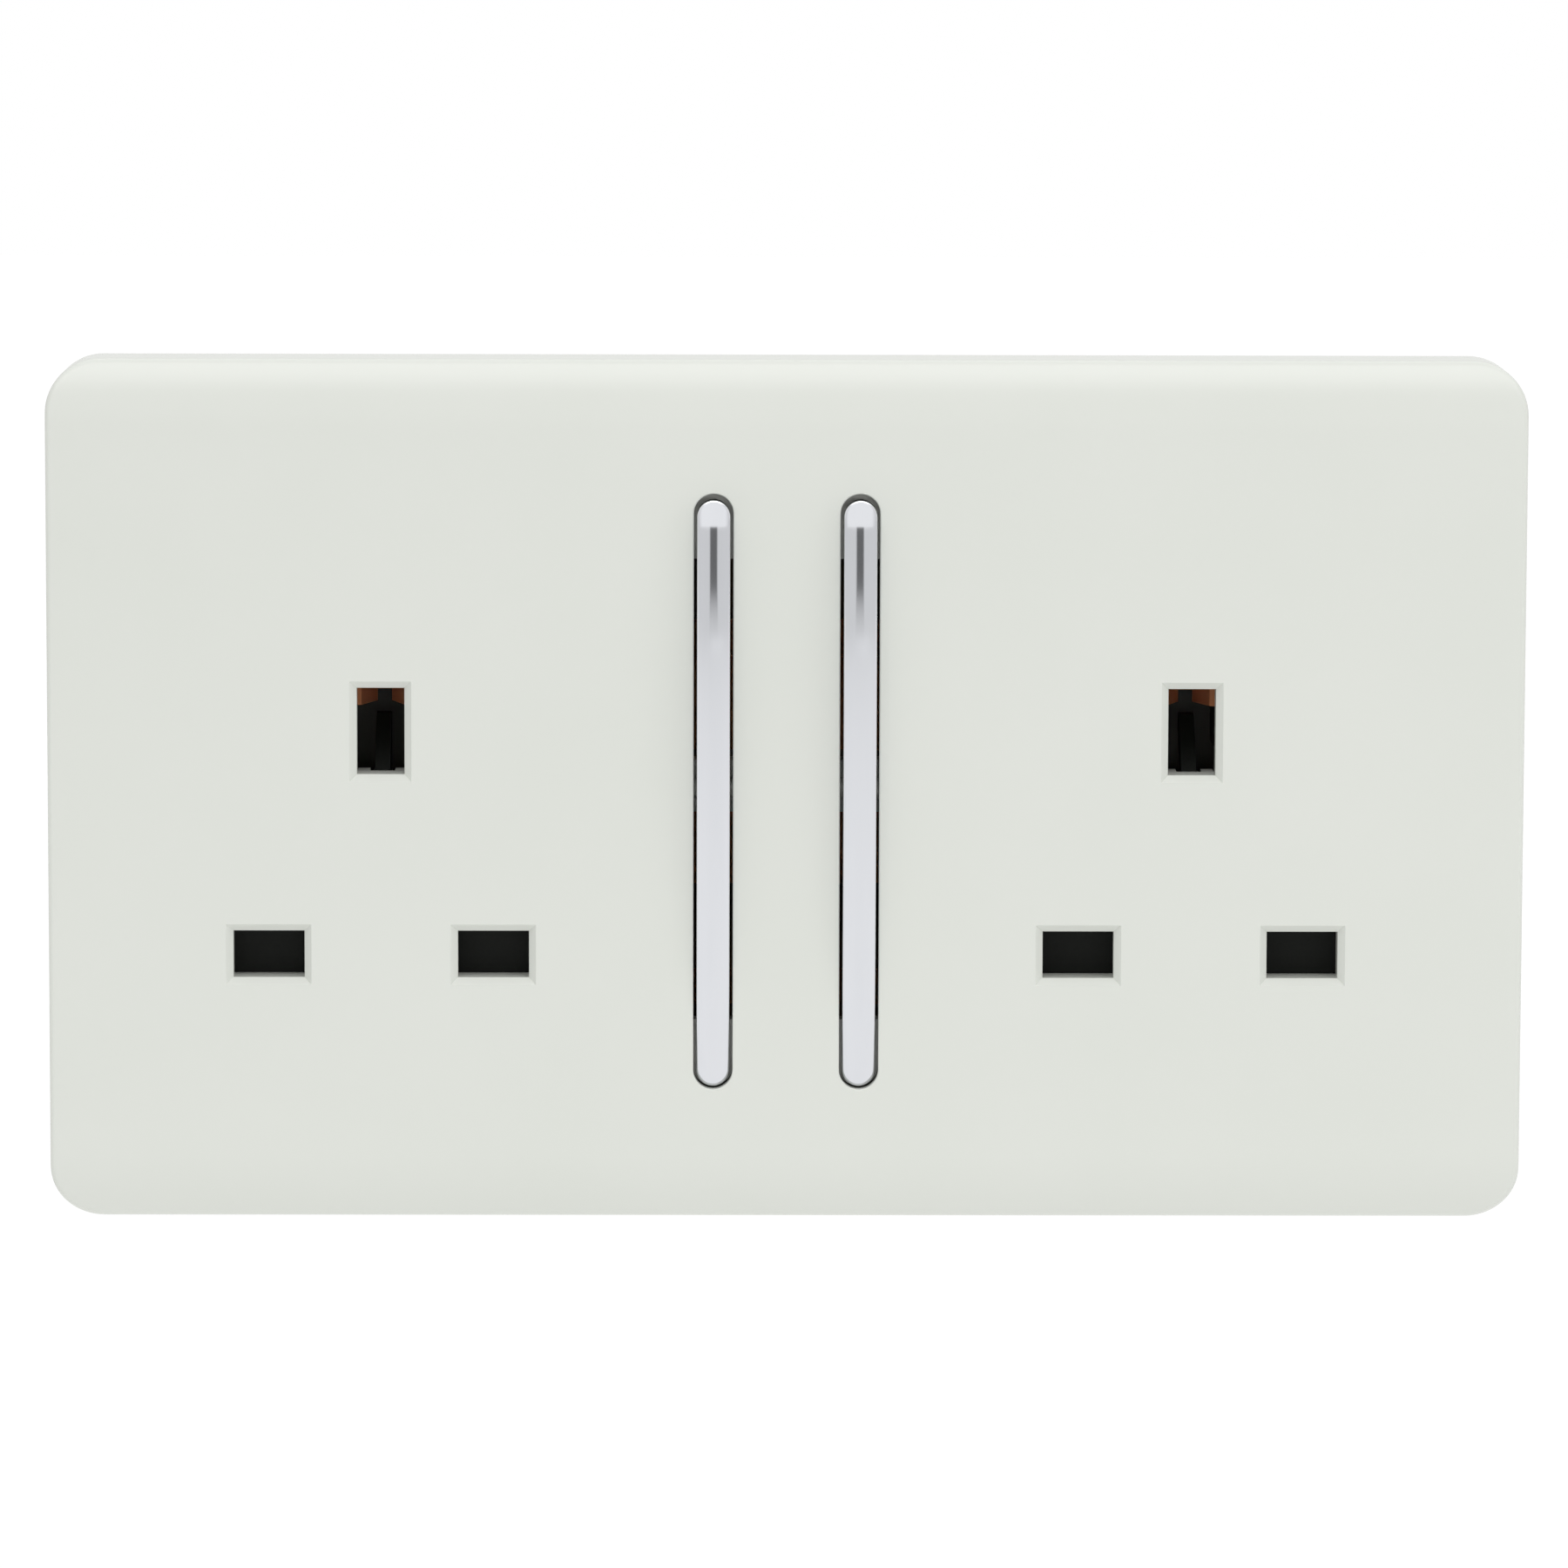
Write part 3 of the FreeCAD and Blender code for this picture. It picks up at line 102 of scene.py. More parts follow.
def make_piece(name, grids, body, node):
    """Joins grids of points into one closed piece that rides on a body and stands for a node.

    Each grid is (points, ring, keep): an array rows x columns x 3, whether it closes on itself,
    and a flag for each cell that stays, or None for all of them.
    """
    points, cells, count = [], [], 0
    for grid, ring, keep in grids:
        faces = grid_cells(grid.shape[0], grid.shape[1], ring)
        faces = faces if keep is None else faces[keep.ravel()]
        points.append(grid.reshape(-1, 3))
        cells.append(faces + count)
        count += points[-1].shape[0]
    mesh = bpy.data.meshes.new(name)
    mesh.from_pydata(np.concatenate(points).tolist(), [], np.concatenate(cells).tolist())
    work = bmesh.new()
    work.from_mesh(mesh)
    bmesh.ops.remove_doubles(work, verts=work.verts, dist=MERGE)
    bmesh.ops.recalc_face_normals(work, faces=work.faces)
    open_edges = sum(1 for edge in work.edges if not edge.is_manifold)
    work.to_mesh(mesh)
    work.free()
    mesh.polygons.foreach_set("use_smooth", np.ones(len(mesh.polygons), dtype=bool))
    mesh.set_sharp_from_angle(angle=CREASE)
    piece = bpy.data.objects.new(name, mesh)
    bpy.context.scene.collection.objects.link(piece)
    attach(piece, body)
    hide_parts(node)
    print(f"{name}: {len(mesh.polygons)} faces, {open_edges} open edges")
    return piece


# %% [markdown]
# The cover and the chrome bars have outlines of the same family: straight sides with round ends or
# corners. Both are therefore drawn as a path of core points with an outward direction at each. A
# point of the surface is the core plus that direction times a reach, so the outline can be drawn in
# by any amount, down to the core itself, and the corners stay round all the way.

# %% A path round a rounded outline
def rim_path(half_x, half_z, radius, stops_x, stops_z, arc_steps):
    """Core points and outward directions round a rounded rectangle, right side first.

    A side's core is its stops at the depth of the corner centres. A corner's core is its centre,
    with the direction turning through a quarter of a circle.
    """
    deep_x, deep_z = half_x - radius, half_z - radius
    sweep = np.linspace(0, math.pi / 2, arc_steps + 1)[1:-1]
    cores, outs = [], []
    sides = [(deep_x, stops_z, None), (None, deep_z, stops_x[::-1]),
             (-deep_x, stops_z[::-1], None), (None, -deep_z, stops_x)]
    centres = [(deep_x, deep_z), (-deep_x, deep_z), (-deep_x, -deep_z), (deep_x, -deep_z)]
    for quarter, (side, centre) in enumerate(zip(sides, centres)):
        x, z = (side[2], side[1]) if side[0] is None else (side[0], side[1])
        x, z = np.broadcast_arrays(np.asarray(x, float), np.asarray(z, float))
        angle = quarter * math.pi / 2
        cores += [np.stack([x, z], axis=-1), np.broadcast_to(centre, (sweep.size, 2))]
        outs += [np.broadcast_to((math.cos(angle), math.sin(angle)), (x.size, 2)),
                 np.stack([np.cos(angle + sweep), np.sin(angle + sweep)], axis=-1)]
    return np.concatenate(cores), np.concatenate(outs)


def lift(x, z, level):
    """Points from plan places and a level in front of the wall plane, which is minus Y."""
    x, z, level = np.broadcast_arrays(x, z, level)
    return np.stack([x, -level, z], axis=-1)


# %% [markdown]
# The cover is the piece that everyone sees: a gloss white moulding, flat over most of its face,
# rolled back along the top and bottom edges, with a small round on the outer edge and a bevel at
# each pin aperture. One large grid covers the face. Its lines run through the edges of every
# opening, and the cells inside the openings are dropped. The roll needs no extra work, since every
# point of the face is lifted by one formula of its height.

# %% Sizes of the cover
low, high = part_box("front_plate")
half_width, half_height, depth = high[0], high[2], -low[1]
corner, wall, back_level = 5.25 * MM, 2.2 * MM, 6.6 * MM
roll_height, roll_radius, edge_round = 6.75 * MM, 12.0 * MM, 0.5 * MM
line_half, earth_half = (3.525 * MM, 2.33 * MM), (2.355 * MM, 4.295 * MM)
bevel, slot_bevel = 0.7 * MM, 0.1 * MM
slot_half_width, slot_half_length, collar = 1.95 * MM, 29.65 * MM, 2.6 * MM
clip_middle, clip_half, clip_reach, clip_root = 46.0 * MM, 5.0 * MM, 0.9 * MM, 0.5 * MM
clip_low, clip_high = 1.0 * MM, 2.2 * MM
arc_steps, roll_steps, edge_steps, line_digits = 16, 4, 8, 9

apertures = []
for opening in frame["record"]["physics"]["openings"]:
    if "aperture" in opening["name"]:
        middle = np.mean(opening["box_m"], axis=0)
        half_sizes = earth_half if "earth" in opening["name"] else line_half
        apertures.append((middle[0], middle[2], *half_sizes))
joints = {joint["name"]: joint for joint in frame["joints"]}
pivots = {side: joints[f"{side}_rocker_tip"]["pos_m"] for side in ("left", "right")}
slot_axes = [pivot[0] for pivot in pivots.values()]
print(f"cover {2000 * half_width:.1f} x {2000 * half_height:.1f} x {1000 * depth:.1f} mm,",
      len(apertures), "apertures")


def face_level(z):
    """Level of the face: flat, then falling on a circle over the last few millimetres of height."""
    into_roll = np.maximum(np.abs(z) - (half_height - roll_height), 0)
    return depth - roll_radius + np.sqrt(roll_radius ** 2 - into_roll ** 2)


# %% Lines of the face grid
deep_x, deep_z = half_width - corner, half_height - corner
slot_end = slot_half_length - slot_half_width
eighth = np.linspace(0, math.pi / 4, arc_steps // 2 + 1)
fan = collar * np.tan(eighth)
lines_x = [[-deep_x, deep_x]]
roll_start = half_height - roll_height
roll_lines = roll_start + np.linspace(0, roll_height - corner, roll_steps + 1)
lines_z = [[-deep_z, deep_z, -slot_end, slot_end], roll_lines, -roll_lines,
           slot_end + fan, -slot_end - fan]
for x, z, half_x, half_z in apertures:
    lines_x.append([x - half_x - bevel, x - half_x, x + half_x, x + half_x + bevel])
    lines_z.append([z - half_z - bevel, z - half_z, z + half_z, z + half_z + bevel])
for axis in slot_axes:
    lines_x += [axis + fan, axis - fan]
lines_x = np.unique(np.round(np.concatenate(lines_x), line_digits))
lines_z = np.unique(np.round(np.concatenate(lines_z), line_digits))
print("face grid", lines_x.size, "by", lines_z.size)


def cells_left(grow):
    """Flags of the face grid's cells that no opening takes, with the apertures grown by an amount."""
    x = (lines_x[:-1] + lines_x[1:])[None, :] / 2
    z = (lines_z[:-1] + lines_z[1:])[:, None] / 2
    left = np.ones((z.size, x.size), dtype=bool)
    for centre_x, centre_z, half_x, half_z in apertures:
        left &= (np.abs(x - centre_x) > half_x + grow) | (np.abs(z - centre_z) > half_z + grow)
    for axis in slot_axes:
        left &= (np.abs(x - axis) > collar) | (np.abs(z) > slot_end + collar)
    return left


# %% [markdown]
# Round the face grid goes one band, a profile carried along the outline: in over the roll, round
# the outer edge, down the side, across the rim that lies on the wall, and up inside to the back of
# the face. Each aperture is a funnel of three rings, and each rocker slot is a collar between a
# rectangle of the grid and the slot's round ended outline. All of them share points, so the cover
# closes into one solid shell. Four small clips stand inside the rim, rooted in its wall, and snap
# into windows of the frame.

# %% Build the cover
def cover_band():
    """Band round the cover: its rows are a profile of insets and levels, its columns the outline.

    The front rows keep to the face's level, less the drop of a quarter round at the outer edge. The
    four behind them are the rim's outer and inner edge and the way up to the back of the face.
    """
    core, out = rim_path(half_width, half_height, corner, lines_x, lines_z, arc_steps)
    turn = np.linspace(0, math.pi / 2, edge_steps + 1)
    over_face = np.linspace(corner, edge_round, edge_steps + 1)[:-1]
    front_inset = np.concatenate([over_face, edge_round * (1 - np.sin(turn))])
    drop = np.concatenate([np.zeros_like(over_face), edge_round * (1 - np.cos(turn))])[:, None]
    inset = np.append(front_inset, [0, wall, wall, corner])[:, None]
    x = core[:, 0] + out[:, 0] * (corner - inset)
    z = core[:, 1] + out[:, 1] * (corner - inset)
    front = face_level(z[:front_inset.size]) - drop
    behind = np.repeat([[0], [0], [back_level], [back_level]], front.shape[1], axis=1)
    return lift(x, z, np.concatenate([front, behind]))


def aperture_funnel(x, z, half_x, half_z):
    """Rings of a pin aperture: the bevel's outer edge, its inner edge, and the back of the face.

    The inner rings are the outer one clipped to the aperture's own rectangle.
    """
    wide, tall = half_x + bevel, half_z + bevel
    steps_x, steps_z = [-wide, -half_x, half_x, wide], [-tall, -half_z, half_z, tall]
    outer_x = np.array(steps_x + [wide, wide] + steps_x[::-1] + [-wide, -wide])
    outer_z = np.array([-tall] * 4 + steps_z[1:3] + [tall] * 4 + steps_z[2:0:-1])
    inner_x, inner_z = np.clip(outer_x, -half_x, half_x), np.clip(outer_z, -half_z, half_z)
    ring_x = x + np.stack([outer_x, inner_x, inner_x])
    ring_z = z + np.stack([outer_z, inner_z, inner_z])
    return lift(ring_x, ring_z, np.array([depth, depth - bevel, back_level])[:, None])


def slot_collar(axis):
    """Rings of a rocker slot: rectangle, bevel, slot wall, and the rectangle again at the back.

    Along the straight sides the rectangle lies beside the path, and round an end it is where a ray
    from the end's centre meets a square.
    """
    straight = lines_z[np.abs(lines_z) <= slot_end + 10 ** -line_digits]
    core, out = rim_path(slot_half_width, slot_half_length, slot_half_width, np.zeros(1), straight,
                         arc_steps)
    square = collar / np.abs(out).max(axis=1)
    slot_wall = np.full_like(square, slot_half_width)
    reach = np.stack([square, slot_wall + slot_bevel, slot_wall, slot_wall, square])
    level = np.array([depth, depth, depth - slot_bevel, back_level, back_level])[:, None]
    return lift(axis + core[:, 0] + out[:, 0] * reach, core[:, 1] + out[:, 1] * reach, level)


def cover_clip(middle, side):
    """Rings of a clip inside the rim: a rectangle carried along X, drawn in to a point at each end."""
    near, far = half_height - wall - clip_reach, half_height - wall + clip_root
    z, level = side * np.array([near, far, far, near]), np.repeat([clip_low, clip_high], 2)
    x = middle + clip_half * np.array([-1, -1, 1, 1])[:, None]
    opened = np.array([0, 1, 1, 0])[:, None]
    return lift(x, z.mean() + opened * (z - z.mean()), level.mean() + opened * (level - level.mean()))


grid_x, grid_z = np.meshgrid(lines_x, lines_z)
cover_grids = [(lift(grid_x, grid_z, face_level(grid_z)), False, cells_left(bevel)),
               (lift(grid_x, grid_z, back_level), False, cells_left(0)),
               (cover_band(), True, None)]
cover_grids += [(aperture_funnel(*aperture), True, None) for aperture in apertures]
cover_grids += [(slot_collar(axis), True, None) for axis in slot_axes]
cover_grids += [(cover_clip(middle, side), True, None) for middle in (-clip_middle, clip_middle)
                for side in (-1, 1)]
cover = make_piece("cover", cover_grids, "base", "front_plate")

# %% [markdown]
# Each rocker wears a solid chrome bar, bowed along its length so that a fingertip finds the end to
# press, slightly round across, with a bevel at each tip. A mirror finish shows every facet, so the
# bar is a formula too: a level over its plan, taken as the softened lower one of the bow and the
# tip's slope, then rounded off towards the outline. It is worked out lying straight, and turned
# about the rocker's pivot to the angle at which the rocker rests.

# %% Build the chrome bars
bar_half_width, bar_half_length = 1.625 * MM, 29.3 * MM
bow_radius, cross_radius, crown_level, seat_level = 260 * MM, 6.0 * MM, 6.4 * MM, 3.0 * MM
tip_length, tip_drop, bar_edge, softness = 2.25 * MM, 0.45 * MM, 0.16 * MM, 0.02 * MM
bar_stops, stop_crowding, tip_steps, round_steps, crown_steps = 121, 1.5, 20, 6, 21
rest_tilt = -math.radians(joints["left_rocker_tip"]["range_deg"][0]) / 2


def bar_level(x, z):
    """Level of the bar above its pivot: a bow along it and a crown across it, cut by sloping tips."""
    bow = bow_radius - np.sqrt(bow_radius ** 2 - z ** 2)
    crown = cross_radius - np.sqrt(cross_radius ** 2 - x ** 2)
    border = bar_half_length - tip_length
    border_level = crown_level - bow_radius + math.sqrt(bow_radius ** 2 - border ** 2)
    body_level = crown_level - bow
    tip_level = border_level - (np.abs(z) - border) * tip_drop / tip_length
    middle, half_gap = (body_level + tip_level) / 2, (body_level - tip_level) / 2
    return middle - np.sqrt(half_gap ** 2 + softness ** 2) - crown


def chrome_bar(pivot):
    """Rings from the bar's underside up its side, round the edge and in over the crown.

    The stops along a side crowd towards the tips by a power of the distance that is left. The two
    underside rings lie on the seat, and all the others on the bar's level less the edge's round.
    """
    end = bar_half_length - bar_half_width
    run = np.linspace(-1, 1, bar_stops)
    stops = end * np.sign(run) * (1 - (1 - np.abs(run)) ** stop_crowding)
    core, out = rim_path(bar_half_width, bar_half_length, bar_half_width, np.zeros(1), stops,
                         tip_steps)
    turn = np.linspace(0, math.pi / 2, round_steps + 1)
    top = np.linspace(bar_edge, bar_half_width, crown_steps + 1)[1:]
    seat = np.array([bar_half_width, 0])
    inset = np.concatenate([seat, bar_edge * (1 - np.cos(turn)), top])[:, None]
    drop = np.concatenate([np.zeros(seat.size), bar_edge * (1 - np.sin(turn)),
                           np.zeros(top.size)])[:, None]
    x = core[:, 0] + out[:, 0] * (bar_half_width - inset)
    z = core[:, 1] + out[:, 1] * (bar_half_width - inset)
    on_seat = np.arange(inset.size)[:, None] < seat.size
    level = np.where(on_seat, seat_level, bar_level(x, z) - drop)
    straight = lift(x, z, level)
    c, s = math.cos(rest_tilt), math.sin(rest_tilt)
    turned = straight @ np.array([[1, 0, 0], [0, c, s], [0, -s, c]])
    return turned + np.array(pivot)


bars = {side: make_piece(f"bar_{side}", [(chrome_bar(pivot), True, None)], f"{side}_rocker",
                         f"rocker_trim_{side}") for side, pivot in pivots.items()}

# %% [markdown]
# A small coil spring under each shutter keeps it shut, and a shorter one in each rocker presses a
# plunger against the switch arm. A coil is a circle carried along a helix, with the pitch easing
# towards each end, where the last turn of a real spring lies almost flat.

# %% A coil spring
coil_steps, coil_sides, coil_ease = 44, 12, 0.11


def coil(foot, along, length, radius, wire, turns):
    """Tube round a helix: the foot, plus a height along one way, plus a radius that turns across it.

    The height follows the turn, less a sine that eases both ends. The first and last ring have no
    thickness, which closes the tube.
    """
    across = np.array([1.0, 0.0, 0.0])
    sideways = np.cross(along, across)
    share = np.linspace(0, 1, round(turns * coil_steps) + 1)[:, None, None]
    around = np.linspace(0, 2 * math.pi, coil_sides, endpoint=False)[None, :, None]
    thick = np.where((share > 0) & (share < 1), wire, 0.0)
    eased = share - coil_ease * np.sin(2 * math.pi * share)
    height = wire + (length - 2 * wire) * eased + thick * np.sin(around)
    angle = 2 * math.pi * turns * share
    outward = across * np.cos(angle) + sideways * np.sin(angle)
    return foot + along * height + outward * (radius + thick * np.cos(around))


def make_spring(name, node, body, foot, along, length, radius, wire, turns):
    """Coil that stands for a node and rides on a body."""
    grid = coil(foot, along, length, radius, wire, turns)
    spring = make_piece(name, [(grid, True, None)], body, node)
    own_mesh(spring)
    return spring


# %% Build the springs
shutter_wire, shutter_turns = 0.18 * MM, 5.5
plunger_wire, plunger_turns, plunger_radius = 0.15 * MM, 3.0, 1.0 * MM
plunger_foot, plunger_length = 2.05 * MM, 2.1 * MM
springs = []
for side, pivot in pivots.items():
    coil_low, coil_high = (np.array(end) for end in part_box(f"shutter_spring_{side}"))
    coil_foot = np.array([*(coil_low + coil_high)[:2] / 2, coil_low[2]])
    springs.append(make_spring(
        f"shutter_coil_{side}", f"shutter_spring_{side}", "base", coil_foot,
        np.array([0.0, 0.0, 1.0]), coil_high[2] - coil_low[2],
        (coil_high - coil_low)[0] / 2 - shutter_wire, shutter_wire, shutter_turns))
    thrust = -np.array(joints[f"{side}_plunger_slide"]["axis"])
    springs.append(make_spring(
        f"plunger_coil_{side}", f"plunger_spring_{side}", f"{side}_rocker",
        np.array(pivot) + plunger_foot * thrust, thrust, plunger_length, plunger_radius,
        plunger_wire, plunger_turns))

# %% [markdown]
# Finishes come next. A finish is a small node tree, and its sums are easier to follow as Python
# expressions, so one class wraps a socket and turns each operator into a Math node. Everything else
# comes from one method that adds a node, sets it up and links it.

# %% Shader sums as Python expressions
class Value:
    """A number that varies over a surface: the socket that carries it, and the finish it is in."""

    def __init__(self, finish, socket):
        self.finish = finish
        self.socket = socket

    def __add__(self, other):
        return self.finish.sum_up("ADD", self, other)

    def __radd__(self, other):
        return self.finish.sum_up("ADD", other, self)

    def __sub__(self, other):
        return self.finish.sum_up("SUBTRACT", self, other)

    def __rsub__(self, other):
        return self.finish.sum_up("SUBTRACT", other, self)

    def __mul__(self, other):
        return self.finish.sum_up("MULTIPLY", self, other)

    def __rmul__(self, other):
        return self.finish.sum_up("MULTIPLY", other, self)


class Finish:
    """A node tree being written: a material's, or the world's."""

    def __init__(self, owner):
        owner.use_nodes = True
        self.owner = owner
        self.tree = owner.node_tree
        self.tree.nodes.clear()

    def node(self, kind, settings, sockets, output=0):
        """Adds a node, sets it up, fills its sockets with numbers or links, and gives one output."""
        node = self.tree.nodes.new(kind)
        for setting, value in settings.items():
            setattr(node, setting, value)
        for socket, value in sockets.items():
            if isinstance(value, Value):
                self.tree.links.new(value.socket, node.inputs[socket])
            else:
                node.inputs[socket].default_value = value
        return Value(self, node.outputs[output]) if node.outputs else node

    def sum_up(self, operation, left, right):
        """One Math node."""
        return self.node("ShaderNodeMath", {"operation": operation}, {0: left, 1: right})

    def place(self, kind="Object"):
        """Coordinates of the shaded point: those of its own piece, or another kind of them."""
        return self.node("ShaderNodeTexCoord", {}, {}, kind)

    def along_axes(self, vector, axes="XYZ"):
        """The coordinates of a vector, as values."""
        return [self.node("ShaderNodeSeparateXYZ", {}, {"Vector": vector}, axis) for axis in axes]

    def size(self, value):
        """A value without its sign."""
        return self.sum_up("ABSOLUTE", value, 0.0)

    def ramp(self, value, nothing, full):
        """Smooth step of a value, from zero at one number to one at another."""
        return self.node("ShaderNodeMapRange", {"interpolation_type": "SMOOTHSTEP"}, {
            "Value": value, "From Min": nothing, "From Max": full})

    def noise(self, scale, stretch=(1, 1, 1), detail=3.0):
        """Soft noise from 0 to 1 on the piece's own coordinates, in cells per metre."""
        place = self.node("ShaderNodeMapping", {}, {"Vector": self.place(), "Scale": stretch})
        return self.node("ShaderNodeTexNoise", {}, {
            "Vector": place, "Scale": scale, "Detail": detail})

    def blend(self, amount, first, second):
        """Colour between two colours."""
        settings = {"data_type": "RGBA", "clamp_factor": True}
        return self.node("ShaderNodeMix", settings, {0: amount, 6: first, 7: second}, 2)

    def relief(self, height, distance, strength):
        """Normal bumped by a height from 0 to 1, for a relief of a given depth."""
        return self.node("ShaderNodeBump", {}, {
            "Strength": strength, "Distance": distance, "Height": height})


def srgb(red, green, blue):
    """Linear colour of an 8 bit screen colour."""
    share = np.array([red, green, blue]) / 255
    linear = np.where(share > 0.04045, ((share + 0.055) / 1.055) ** 2.4, share / 12.92)
    return (*linear.tolist(), 1.0)


def grey(level):
    """Linear grey of one level."""
    return (level, level, level, 1.0)


def finish_material(name, sockets):
    """A material from a function of its finish that gives the shader's sockets."""
    material = bpy.data.materials.new(name)
    finish = Finish(material)
    shader = finish.node("ShaderNodeBsdfPrincipled", {}, sockets(finish))
    finish.node("ShaderNodeOutputMaterial", {}, {"Surface": shader})
    return material


# %% [markdown]
# The plastics. The cover is gloss white with a hint of green grey, and close up such a moulding has
# a faint ripple from the tool and tiny changes of shine. The inner mouldings are the same white
# with a fine spark texture. The shutters are black, and a little shiny where they slide. Inside the
# rocker slots the cover is duller, and lower down its colour is darkened: that is painted shade for
# the dark gap round each bar. The contact chambers inside the housing are darkened with painted
# shade too, for their deep hollows.

# %% Plastic finishes
chamber_side, chamber_low, chamber_high = 50.2 * MM, -26.2 * MM, 23.2 * MM
chamber_front, chamber_floor, chamber_fade = -1.0 * MM, 16.5 * MM, 0.3 * MM


def gloss_white(finish):
    """Warm white under a clear gloss, with a slow drift of tone, shine and level, and dull slots.

    A point is in a slot where it lies within the slot's plan and well below the face. There the
    colour is darkened as painted shade, and the finish is duller.
    """
    shade_start, shade_full = 0.7 * MM, 1.8 * MM
    drift, ripple = finish.noise(55.0), finish.noise(900.0, detail=2.0)
    x, y, z = finish.along_axes(finish.place())
    beside = finish.size(finish.size(x) - slot_axes[1])
    # Painted shade: lower down the slot walls the colour is darkened, for the dark gap round each bar.
    slot_dull_and_painted_shade = (finish.ramp(beside, slot_half_width + slot_bevel, slot_half_width + slot_bevel / 2)
               * finish.ramp(finish.size(z), slot_half_length + slot_bevel, slot_half_length)
               * finish.ramp(y, shade_start - depth, shade_full - depth))
    white = finish.blend(drift, srgb(213, 216, 209), srgb(217, 219, 213))
    return {"Base Color": finish.blend(slot_dull_and_painted_shade, white, srgb(74, 72, 62)),
            "Roughness": 0.2 + 0.08 * drift + 0.4 * slot_dull_and_painted_shade,
            "Normal": finish.relief(ripple, 0.01 * MM, 0.25), "IOR": 1.49}


def inner_white(finish):
    """Matt white moulding with flow marks, a spark eroded grain and dark contact chambers.

    A point is in a chamber where it lies within the housing's hollow, behind the frame's deck.
    There the colour is darkened as painted shade.
    """
    flow, grain = finish.noise(70.0, stretch=(0.3, 1, 1)), finish.noise(4200.0, detail=2.0)
    x, y, z = finish.along_axes(finish.place())
    # Painted shade: the colour is darkened inside the contact chambers, where deep shade falls.
    painted_chamber_shade = (finish.ramp(finish.size(x), chamber_side + chamber_fade, chamber_side)
                  * finish.ramp(z, chamber_low - chamber_fade, chamber_low)
                  * finish.ramp(z, chamber_high + chamber_fade, chamber_high)
                  * finish.ramp(y, chamber_front - chamber_fade, chamber_front)
                  * finish.ramp(y, chamber_floor + chamber_fade, chamber_floor))
    white = finish.blend(flow, srgb(206, 207, 202), srgb(222, 223, 218))
    return {"Base Color": finish.blend(painted_chamber_shade, white, srgb(96, 94, 88)),
            "Roughness": 0.45 + 0.15 * grain,
            "Normal": finish.relief(grain, 0.02 * MM, 0.35), "IOR": 1.5}


def shutter_black(finish):
    """Black nylon with a fine grain and paler rubbed patches."""
    rub, grain = finish.noise(260.0, stretch=(1, 1, 0.3)), finish.noise(5200.0, detail=2.0)
    return {"Base Color": finish.blend(rub, srgb(12, 14, 12), srgb(20, 22, 19)),
            "Roughness": 0.5 + 0.2 * grain, "Specular IOR Level": 0.2,
            "Normal": finish.relief(grain, 0.015 * MM, 0.4)}


# %% [markdown]
# The metals. Chrome is a mirror with the faintest polishing haze along the bar. Strip metal comes
# off a rolling mill, so its lines run one way and its tarnish in clouds. Turned brass and plated
# screws carry finer lines, and spring wire has long drawing marks.

# %% Metal finishes
def bright_chrome(finish):
    """Cool mirror plating with polishing haze drawn out along the bar."""
    haze = finish.noise(420.0, stretch=(1, 1, 0.05))
    return {"Base Color": finish.blend(haze, srgb(213, 215, 219), srgb(221, 222, 226)),
            "Metallic": 1.0, "Roughness": 0.045 + 0.05 * haze}


def rolled_copper(finish):
    """Copper alloy strip with rolling lines and cloudy tarnish."""
    lines, cloud = finish.noise(900.0, stretch=(1, 1, 0.05)), finish.noise(160.0)
    return {"Base Color": finish.blend(cloud, srgb(246, 188, 144), srgb(230, 164, 122)),
            "Metallic": 1.0, "Roughness": 0.65 + 0.25 * lines,
            "Normal": finish.relief(lines, 0.008 * MM, 0.4)}


def turned_brass(finish):
    """Machined brass with fine cutter lines and a slow change of tone."""
    lines, tone = finish.noise(1500.0, stretch=(0.06, 1, 1)), finish.noise(120.0)
    return {"Base Color": finish.blend(tone, srgb(214, 184, 116), srgb(190, 156, 88)),
            "Metallic": 1.0, "Roughness": 0.22 + 0.2 * lines,
            "Normal": finish.relief(lines, 0.01 * MM, 0.35)}


def silver_alloy(finish):
    """Soft grey contact silver with a pitted face."""
    pits = finish.noise(2400.0)
    return {"Base Color": finish.blend(pits, srgb(196, 196, 192), srgb(226, 226, 222)),
            "Metallic": 1.0, "Roughness": 0.3 + 0.2 * pits,
            "Normal": finish.relief(pits, 0.01 * MM, 0.4)}


def zinc_plate(finish):
    """Bluish zinc on steel screws, with small spangles."""
    spangle = finish.noise(1300.0)
    return {"Base Color": finish.blend(spangle, srgb(176, 180, 184), srgb(206, 209, 212)),
            "Metallic": 1.0, "Roughness": 0.28 + 0.2 * spangle,
            "Normal": finish.relief(spangle, 0.008 * MM, 0.3)}


def drawn_wire(finish):
    """Dark spring steel with drawing marks."""
    marks = finish.noise(1800.0, stretch=(1, 1, 0.2))
    return {"Base Color": finish.blend(marks, srgb(122, 124, 128), srgb(164, 166, 170)),
            "Metallic": 1.0, "Roughness": 0.25 + 0.18 * marks,
            "Normal": finish.relief(marks, 0.006 * MM, 0.3)}


# %% [markdown]
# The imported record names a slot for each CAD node. Every node could have a material of its own, but
# one for each slot keeps like parts alike, and it is changed in one place. The cover, the bars and the
# springs take the finish of the slot that they stand for.

